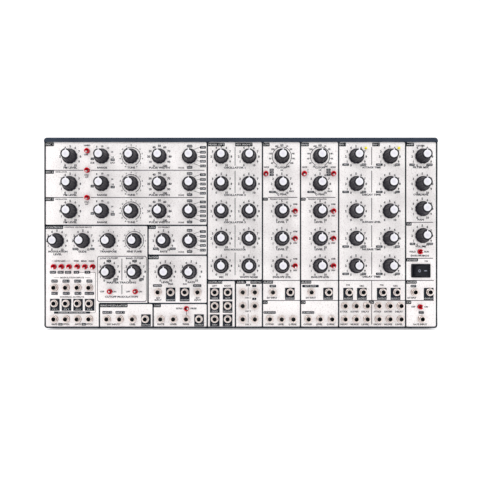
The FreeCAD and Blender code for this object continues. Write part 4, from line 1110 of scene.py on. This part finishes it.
def controls():
    """Everything below the oscillators, at the left."""
    y = MASTER_ROW
    word("CONTROL VOLTAGE INPUTS", 37.0, 98.2, 1.2, GREY, wide=30)
    word("LOW FREQUENCY", 131.5, 98.2, 1.2, GREY, wide=13)
    dial(14.0, y)
    word("MODULATION", 15.0, 124.9, wide=21)
    word("LEVEL", 14.6, 127.9, wide=9.5)
    dial(42.5, y)
    tag("MIN", 31.0, 120.8, 36.6, 123.3)
    tag("MAX", 50.4, 120.8, 55.2, 123.3)
    word("GLIDE", 41.9, 124.9, wide=9)
    dial(70.5, y, 11.2, -5, 5, 11, 1.4)
    word("TRANSPOSE", 70.4, 124.9, wide=18.5)
    ring(99.0, y, 9.9, ticks=11, reach=1.0)
    dial(99.0, y, 12.4, -5, 5, 11, 1.3)
    word("FINE TUNE", 98.9, 124.9, wide=16.5)
    for x in (58.5, 112.2):
        post(x, 131.4, 178.5, 0.6, GREY)
    for down in (130.1, 179.7):
        rail(down, 59.6, 111.2, FINE, GREY)
    for x, sx in ((58.3, 1), (112.4, -1)):
        for down, sy in ((129.9, 1), (179.9, -1)):
            stroke(x + sx * 0.2, down + sy * 1.6, x + sx * 1.5, down + sy * 0.25, FINE, GREY)
    for y0, y1 in ((132.6, 156.4), (161.4, 171.8)):
        post(85.3, y0, y1, FINE, GREY)
    for x, text in ((71.0, "LOW CUTOFF"), (99.3, "BAND CUTOFF")):
        word(text, x, 132.3, 1.6, wide=19.5)
        dial(x + 0.4, LOWER_ROW, 11.1)
        tag("CV", x - 2.6, 134.0, x + 2.4, 136.6, 0.5)
        tag("MAX", x + 5.4, 154.0, x + 10.0, 156.6, 0.5)
        word("OFF", x - 7.4, 168.9, 1.5)
        word("ON", x + 6.2, 168.9, 1.5)
    word("MASTER TRACKING", 84.8, 158.9, wide=37)
    word("CUTOFF MODULATION", 84.7, 174.5, wide=36)
    word("KEYBOARD", 17.4, 135.3, 1.5, GREY, wide=12)
    for x0, x1 in ((8.2, 10.8), (24.0, 28.6)):
        rail(135.3, x0, x1, 0.4, GREY)
    for x, text in ((35.3, "WHEEL"), (43.5, "BEND"), (51.8, "GLIDE")):
        word(text, x, 135.3, 1.5, wide=6.2)
    for text, x0, x1 in (("OSC", 6.0, 13.0), ("OSC", 14.6, 21.4), ("OSC", 22.6, 29.8), ("CV", 32.2, 38.4),
                         ("CV", 44.3, 50.6)):
        tag(text, x0, 146.1, x1, 149.2)
    rail(147.7, 38.4, 44.2, HAIR, GREY)
    rail(147.7, 50.6, 55.4, HAIR, GREY)
    stroke(55.4, 147.7, 56.3, 148.6, HAIR, GREY)
    post(56.3, 148.6, 191.2, HAIR, GREY)
    stroke(56.3, 191.2, 55.3, 192.2, HAIR, GREY)
    rail(192.2, 50.4, 55.3, HAIR, GREY)
    word("MODULATION INPUTS", 30.6, 153.5, 1.4, GREY, wide=26)
    for x0, x1 in ((11.0, 16.6), (44.6, 50.4)):
        rail(153.5, x0, x1, 0.4, GREY)
    for text, x0, y0, x1, y1 in (
        ("LFO", 7.8, 155.6, 14.8, 159.0), ("OSC 1", 20.0, 155.6, 27.8, 159.0),
        ("OSC 2", 32.8, 155.6, 40.6, 159.0), ("LFO", 46.2, 155.6, 52.8, 159.0),
        ("OSC 1", 7.7, 169.2, 15.0, 172.5), ("OSC 2", 20.4, 169.2, 28.0, 172.5),
        ("OSC 3", 33.2, 169.2, 40.8, 172.5), ("ALL OSC", 44.4, 169.2, 54.8, 172.5),
    ):
        tag(text, x0, y0, x1, y1)
    word("CONTROL OUTPUTS", 30.3, 174.8, 1.3, GREY, wide=36)
    for text, x0, x1 in (("1", 6.4, 16.9), ("2", 19.1, 29.7), ("3", 31.9, 42.4), ("4", 44.6, 55.2)):
        square("CV " + text, x0, 176.8, x1, 189.9)
    patch(10.7, 190.7, 50.5, 193.1, INK, 0.6)
    word("CONTROL VOLTAGE INPUTS", 30.6, 191.9, 1.1, PALE, 34)
    for x0, x1 in ((15.4, 20.2), (41.0, 45.8)):
        tag("IN", x0, 203.4, x1, 206.2, 0.4)
    for x, text in ((11.2, "GATE"), (24.1, "PITCH"), (36.9, "GATE"), (49.6, "PITCH")):
        word(text, x, 204.8, 1.5, wide=6.6)


def middle_left():
    """Low-frequency oscillator, noise, ring modulator and sync."""
    dial(131.0, MASTER_ROW)
    word("RATE", 131.2, 124.9, wide=8)
    tag("MIN", 119.4, 120.5, 125.4, 123.1, 0.5)
    tag("MAX", 138.2, 120.5, 144.4, 123.1, 0.5)
    selector(MASTER_ROW)
    dial(133.0, LOWER_ROW)
    dial(161.5, LOWER_ROW)
    word("LEVEL", 133.0, 158.6, 1.6, wide=9)
    word("RATE", 161.5, 158.6, 1.6, wide=8)
    tag("WHITE", 119.4, 160.8, 129.2, 163.7)
    tag("HOLD", 163.4, 160.8, 172.6, 163.7)
    word("PINK", 139.0, 160.6, 1.5)
    word("S+H", 154.5, 160.6, 1.5)
    square("OUTPUT", 133.6, 164.4, 144.1, 179.6)
    square("OUTPUT", 148.9, 164.4, 159.6, 179.6)
    for x in (125.0, 168.5):
        word("EXT", x, 176.0, 1.4)
        word("INPUT", x, 178.2, 1.4, wide=7.5)
    tag("INPUT X", 63.8, 190.2, 74.6, 193.2)
    tag("INPUT Y", 78.2, 190.2, 88.6, 193.2)
    word("EXT INPUTS", 75.9, 204.9, 1.5, wide=13.5)
    word("LEVEL", 97.0, 204.9, 1.5, wide=6.5)
    square("OUTPUT", 106.5, 193.8, 117.1, 207.0)
    square("OUTPUT", 164.8, 193.8, 175.4, 207.0)
    for x, text in ((128.0, "RATE"), (142.0, "LEVEL"), (155.4, "TRIGGER")):
        word(text, x, 204.8, 1.5, wide=7.6)
    word("RETRIG", 148.2, 187.4, 1.5, wide=7)
    word("FREE", 164.0, 187.4, 1.5, wide=6.5)
    stroke(156.25, 190.6, 156.25, 194.4, 0.5, GREY)


def mixers():
    names = ("OSCILLATOR 1", "OSCILLATOR 2", "OSCILLATOR 3", "RING MODULATOR")
    for row in range(5):
        y = FIRST_ROW + ROW_PITCH * row
        for x in (194.5, 224.75):
            dial(x, y, 11.1)
        if row < 4:
            word(names[row], 209.4, y + 12.2, wide=24)
    word("MIX", 194.5, 152.9)
    word("WHITE NOISE", 224.75, 152.9, wide=20)
    word("LEFT", 187.0, 162.5, 1.5, GREY)
    word("RIGHT", 201.4, 162.5, 1.5, GREY)
    for row, (y0, y1) in enumerate(((164.7, 177.6), (179.4, 192.1), (193.9, 207.0))):
        for column, x0 in enumerate((182.0, 196.1)):
            square(("MAIN", "AUX", "SEND", "RETURN", "DRY", "WET")[2 * row + column], x0, y0, x0 + 10.6, y1)
    for y, text in ((175.6, "OSC 1"), (190.4, "OSC 2"), (205.0, "OSC 3")):
        word(text, 224.0, y, 1.4, GREY, wide=6.5)
    tag("IN", 221.5, 160.4, 226.0, 163.0, 0.5)
    tag("1", 228.4, 161.4, 232.9, 164.0, 0.6)
    tag("2", 228.4, 175.6, 232.9, 178.2, 0.6)
    for y0, y1 in ((164.0, 173.4), (178.4, 187.8), (193.0, 203.0)):
        post(224.0, y0, y1, 0.6, GREY)


CUTOFF_MARKS = ("20", "40", "60", "100", "200", "400", "600", "1K", "2K", "4K", "6K", "10K", "20K")


def filters():
    for x, slope_x in ((261.0, 243.5), (303.0, 285.5)):
        ring(x, FIRST_ROW, 10.3, ticks=len(CUTOFF_MARKS), reach=1.2)
        for step, text in enumerate(CUTOFF_MARKS):
            angle = math.radians(-150 + 25 * step)
            word(text, x + 13.2 * math.sin(angle), FIRST_ROW - 12.6 * math.cos(angle), 1.5)
        word("CUTOFF", x, 32.6, wide=11)
        word("HZ", x, 35.4, 1.3)
        word("MODE", slope_x + 0.6, 32.2, 1.5, wide=5.5)
        for row, (text, down, wide) in enumerate((("Q PEAK", 62.0, 11), ("LEVEL 1", 92.4, 12),
                                                  ("LEVEL 2", 122.4, 12), ("ENVELOPE LEVEL", 152.9, 20))):
            dial(x, FIRST_ROW + ROW_PITCH * (row + 1))
            word(text, x, down, wide=wide)
        word("FREQUENCY MODULATION", x - 3.0, 67.3, 1.3, GREY, wide=20)
        tag("MIN", x - 14.1, 58.2, x - 6.5, 60.6, 0.5)
        word("MAX", x + 10.8, 58.6, 1.5)
    for left, right in ((247.5, 252.1), (309.9, 314.5)):
        for down, text in ((33.8, "24"), (36.6, "18"), (39.4, "12")):
            tag(text, left, down, right, down + 2.5, 0.4)
    for down, text in ((34.8, "3"), (37.6, "2"), (40.3, "1")):
        word(text, 289.7, down, 1.4)
    word("MODE", 317.3, 32.2, 1.5, wide=5.5)
    for x in (275.7, 317.5):
        for y in (72.8, 102.8, 132.8):
            word("NORM", x, y, 1.5, wide=4.6)
            word("INV", x, y + 12.8, 1.5)
    tag("EXT", 247.4, 161.4, 254.6, 164.2)
    tag("EXT INPUT", 283.4, 161.4, 301.6, 164.2)
    word("EXT INPUT", 250.2, 175.7, 1.5, wide=11.5)
    word("EXT INPUT", 292.8, 175.7, 1.5, wide=11.0)
    square("OUTPUT", 264.4, 164.7, 275.1, 177.8)
    square("OUTPUT", 306.4, 164.7, 317.1, 177.8)
    tag("CV INPUTS", 240.9, 190.4, 254.4, 193.2)
    tag("CV INPUTS", 283.1, 190.4, 296.6, 193.2)
    for first in (247.5, 289.4):
        for step, (text, wide) in enumerate((("CUTOFF", 9.2), ("LEVEL", 6.8), ("Q PEAK", 9.0))):
            word(text, first + 12.6 * step, 204.9, 1.5, wide=wide)


def envelopes():
    names = ("ATTACK TIME", "DECAY TIME", "SUSTAIN LEVEL", "RELEASE TIME", "DELAY TIME")
    for row, text in enumerate(names):
        y = FIRST_ROW + ROW_PITCH * row
        word(text, 359.5, y + 11.9, wide=20.5)
        for x in (342.5, 379.5):
            dial(x, y)
            if row != 2:
                tag("MIN", x - 15.1, y + 7.6, x - 7.8, y + 10.2, 0.6)
                tag("MAX", x + 6.1, y + 7.6, x + 11.1, y + 10.2, 0.6)
    for x in (342.5, 379.5):
        for number, text in enumerate(("POS", "NEG")):
            left = x - 14.1 + number * 15.1
            square("OUTPUT", left, 164.8, left + 10.7, 177.9)
            word(text, left + 5.3, 161.6 + number, 1.4, GREY)
        sockets = (("ATTACK", "DECAY"), ("SUSTAIN", "RELEASE"), ("DELAY", "LEVEL"))
        for step, (upper, lower) in enumerate(sockets):
            across = x - 1.7 + 11.8 * (step - 1)
            word(upper, across, 190.9, 1.5, wide=8.6)
            word(lower, across, 204.9, 1.5, wide=8.6)


def output_section():
    x = 415.25
    for y, text, wide in (
        (FIRST_ROW, "FILTER MIX", 17.5), (FIRST_ROW + ROW_PITCH, "OVERDRIVE", 16.5), (78.0, "PAN", 10),
        (107.5, "VOLUME", 12),
    ):
        dial(x, y)
        word(text, 413.6, y + 11.8, 1.7, wide=wide)
    word("CENTER", 413.2, 8.6, 1.4, GREY, wide=9.5)
    tag("LOW", 401.0, 28.2, 406.9, 30.9)
    tag("BAND", 420.4, 28.2, 426.6, 30.9)
    tag("MIN", 401.4, 115.2, 407.6, 117.8)
    tag("MAX", 420.6, 115.2, 427.0, 117.8)
    word("HOLD", 404.6, 125.0, 1.5)
    word("RUN", 420.0, 125.0, 1.5)
    word("ENVELOPE MODE", 412.5, 129.4, 1.5, wide=20)
    word("ON", 419.6, 135.4, 1.4, GREY)
    tag("EXT", 402.4, 161.4, 408.6, 164.2)
    square("OUTPUT", 416.9, 164.8, 427.6, 178.1)
    word("EXT INPUT", 403.8, 175.7, 1.5, wide=9.6)
    word("OFF", 405.4, 185.6, 1.5)
    word("ON", 419.6, 185.6, 1.5)
    tag("CV", 411.2, 190.4, 417.0, 193.2, 0.6)
    word("GATE INPUT", 412.8, 204.9, 1.5, wide=15.4)


borders()
headers()
oscillators()
controls()
middle_left()
mixers()
filters()
envelopes()
output_section()
for ink, solid in prints.items():
    if solid.points:
        piece("printed_shapes_" + ink, solid.mesh("shapes", [ink]), CASE, PANEL_FRAME)
for ink, solid in letters.items():
    piece("printed_letters_" + ink, solid.mesh("letters", [ink]), CASE, PANEL_FRAME)


# ---------------- floor, light and camera


def stage_floor():
    """White paper that runs under the object and curves up behind it."""
    half, front, bend_from, bend, top = 6.0, -3.0, 1.2, 1.6, 4.0
    mesh = bpy.data.meshes.new("floor")
    points, faces = [], []
    profile = [(front, 0.0), (bend_from, 0.0)]
    for step in range(1, 13):
        angle = math.radians(90 * step / 12)
        profile.append((bend_from + bend * math.sin(angle), bend * (1 - math.cos(angle))))
    profile.append((bend_from + bend, top))
    for y, z in profile:
        points += [(-half, y, z), (half, y, z)]
    for i in range(len(profile) - 1):
        faces.append((2 * i, 2 * i + 1, 2 * i + 3, 2 * i + 2))
    mesh.from_pydata(points, [], faces)
    for polygon in mesh.polygons:
        polygon.use_smooth = True
    floor = bpy.data.objects.new("floor", mesh)
    bpy.context.scene.collection.objects.link(floor)
    s = Shader("floor_paper")
    s.colour(s.ramp(s.noise(3.0, 2.0), 0.3, 0.7, (0.90, 0.90, 0.90), (0.93, 0.93, 0.93)))
    s.set(Roughness=0.7, Emission_Color=(1, 1, 1, 1), Emission_Strength=0.36)
    mesh.materials.append(s.material)


def area_light(name, place, aim, size, power):
    """A white rectangular light that faces a point."""
    data = bpy.data.lights.new(name, "AREA")
    data.shape = "RECTANGLE"
    data.size, data.size_y = size
    data.energy = power
    lamp = bpy.data.objects.new(name, data)
    lamp.location = place
    lamp.rotation_euler = (Vector(aim) - Vector(place)).to_track_quat("-Z", "Y").to_euler()
    bpy.context.scene.collection.objects.link(lamp)


def studio_world():
    """White all round and overhead, dimmer in front, where the photographer stands."""
    world = bpy.data.worlds.new("studio")
    world.use_nodes = True
    tree = world.node_tree
    background = tree.nodes["Background"]
    background.inputs["Color"].default_value = (1, 1, 1, 1)
    coords = tree.nodes.new("ShaderNodeTexCoord")
    split = tree.nodes.new("ShaderNodeSeparateXYZ")
    fade = tree.nodes.new("ShaderNodeMapRange")
    for key, number in (("From Min", -0.8), ("From Max", 0.2), ("To Min", 0.3), ("To Max", 0.85)):
        fade.inputs[key].default_value = number
    tree.links.new(coords.outputs["Generated"], split.inputs["Vector"])
    tree.links.new(split.outputs["Y"], fade.inputs["Value"])
    tree.links.new(fade.outputs["Result"], background.inputs["Strength"])
    bpy.context.scene.world = world


bpy.context.scene.view_settings.view_transform = "Standard"
stage_floor()
studio_world()
centre = middle(CAD_BOX)
area_light("key", (-0.6, -1.1, 1.25), centre, (1.0, 0.8), 12)
area_light("fill", (0.9, -1.2, 1.0), centre, (1.0, 1.0), 7)
area_light("sky", (0.0, 0.3, 2.2), (0, 0.2, 0), (2.5, 2.0), 22)

CAMERA_AWAY = 0.624  # metres in front of the panel
CAMERA_HIGH = 0.0706
camera_data = bpy.data.cameras.new("camera")
camera = bpy.data.objects.new("camera", camera_data)
bpy.context.scene.collection.objects.link(camera)
camera.location = (-0.0045, FACE - CAMERA_AWAY, CAMERA_HIGH)
camera.rotation_euler = (math.radians(90), 0, 0)
camera_data.sensor_width = 36
camera_data.lens = 42.6
camera_data.shift_x = 0.0067
camera_data.shift_y = 0.0535
camera_data.clip_start, camera_data.clip_end = 0.02, 30
bpy.context.scene.camera = camera
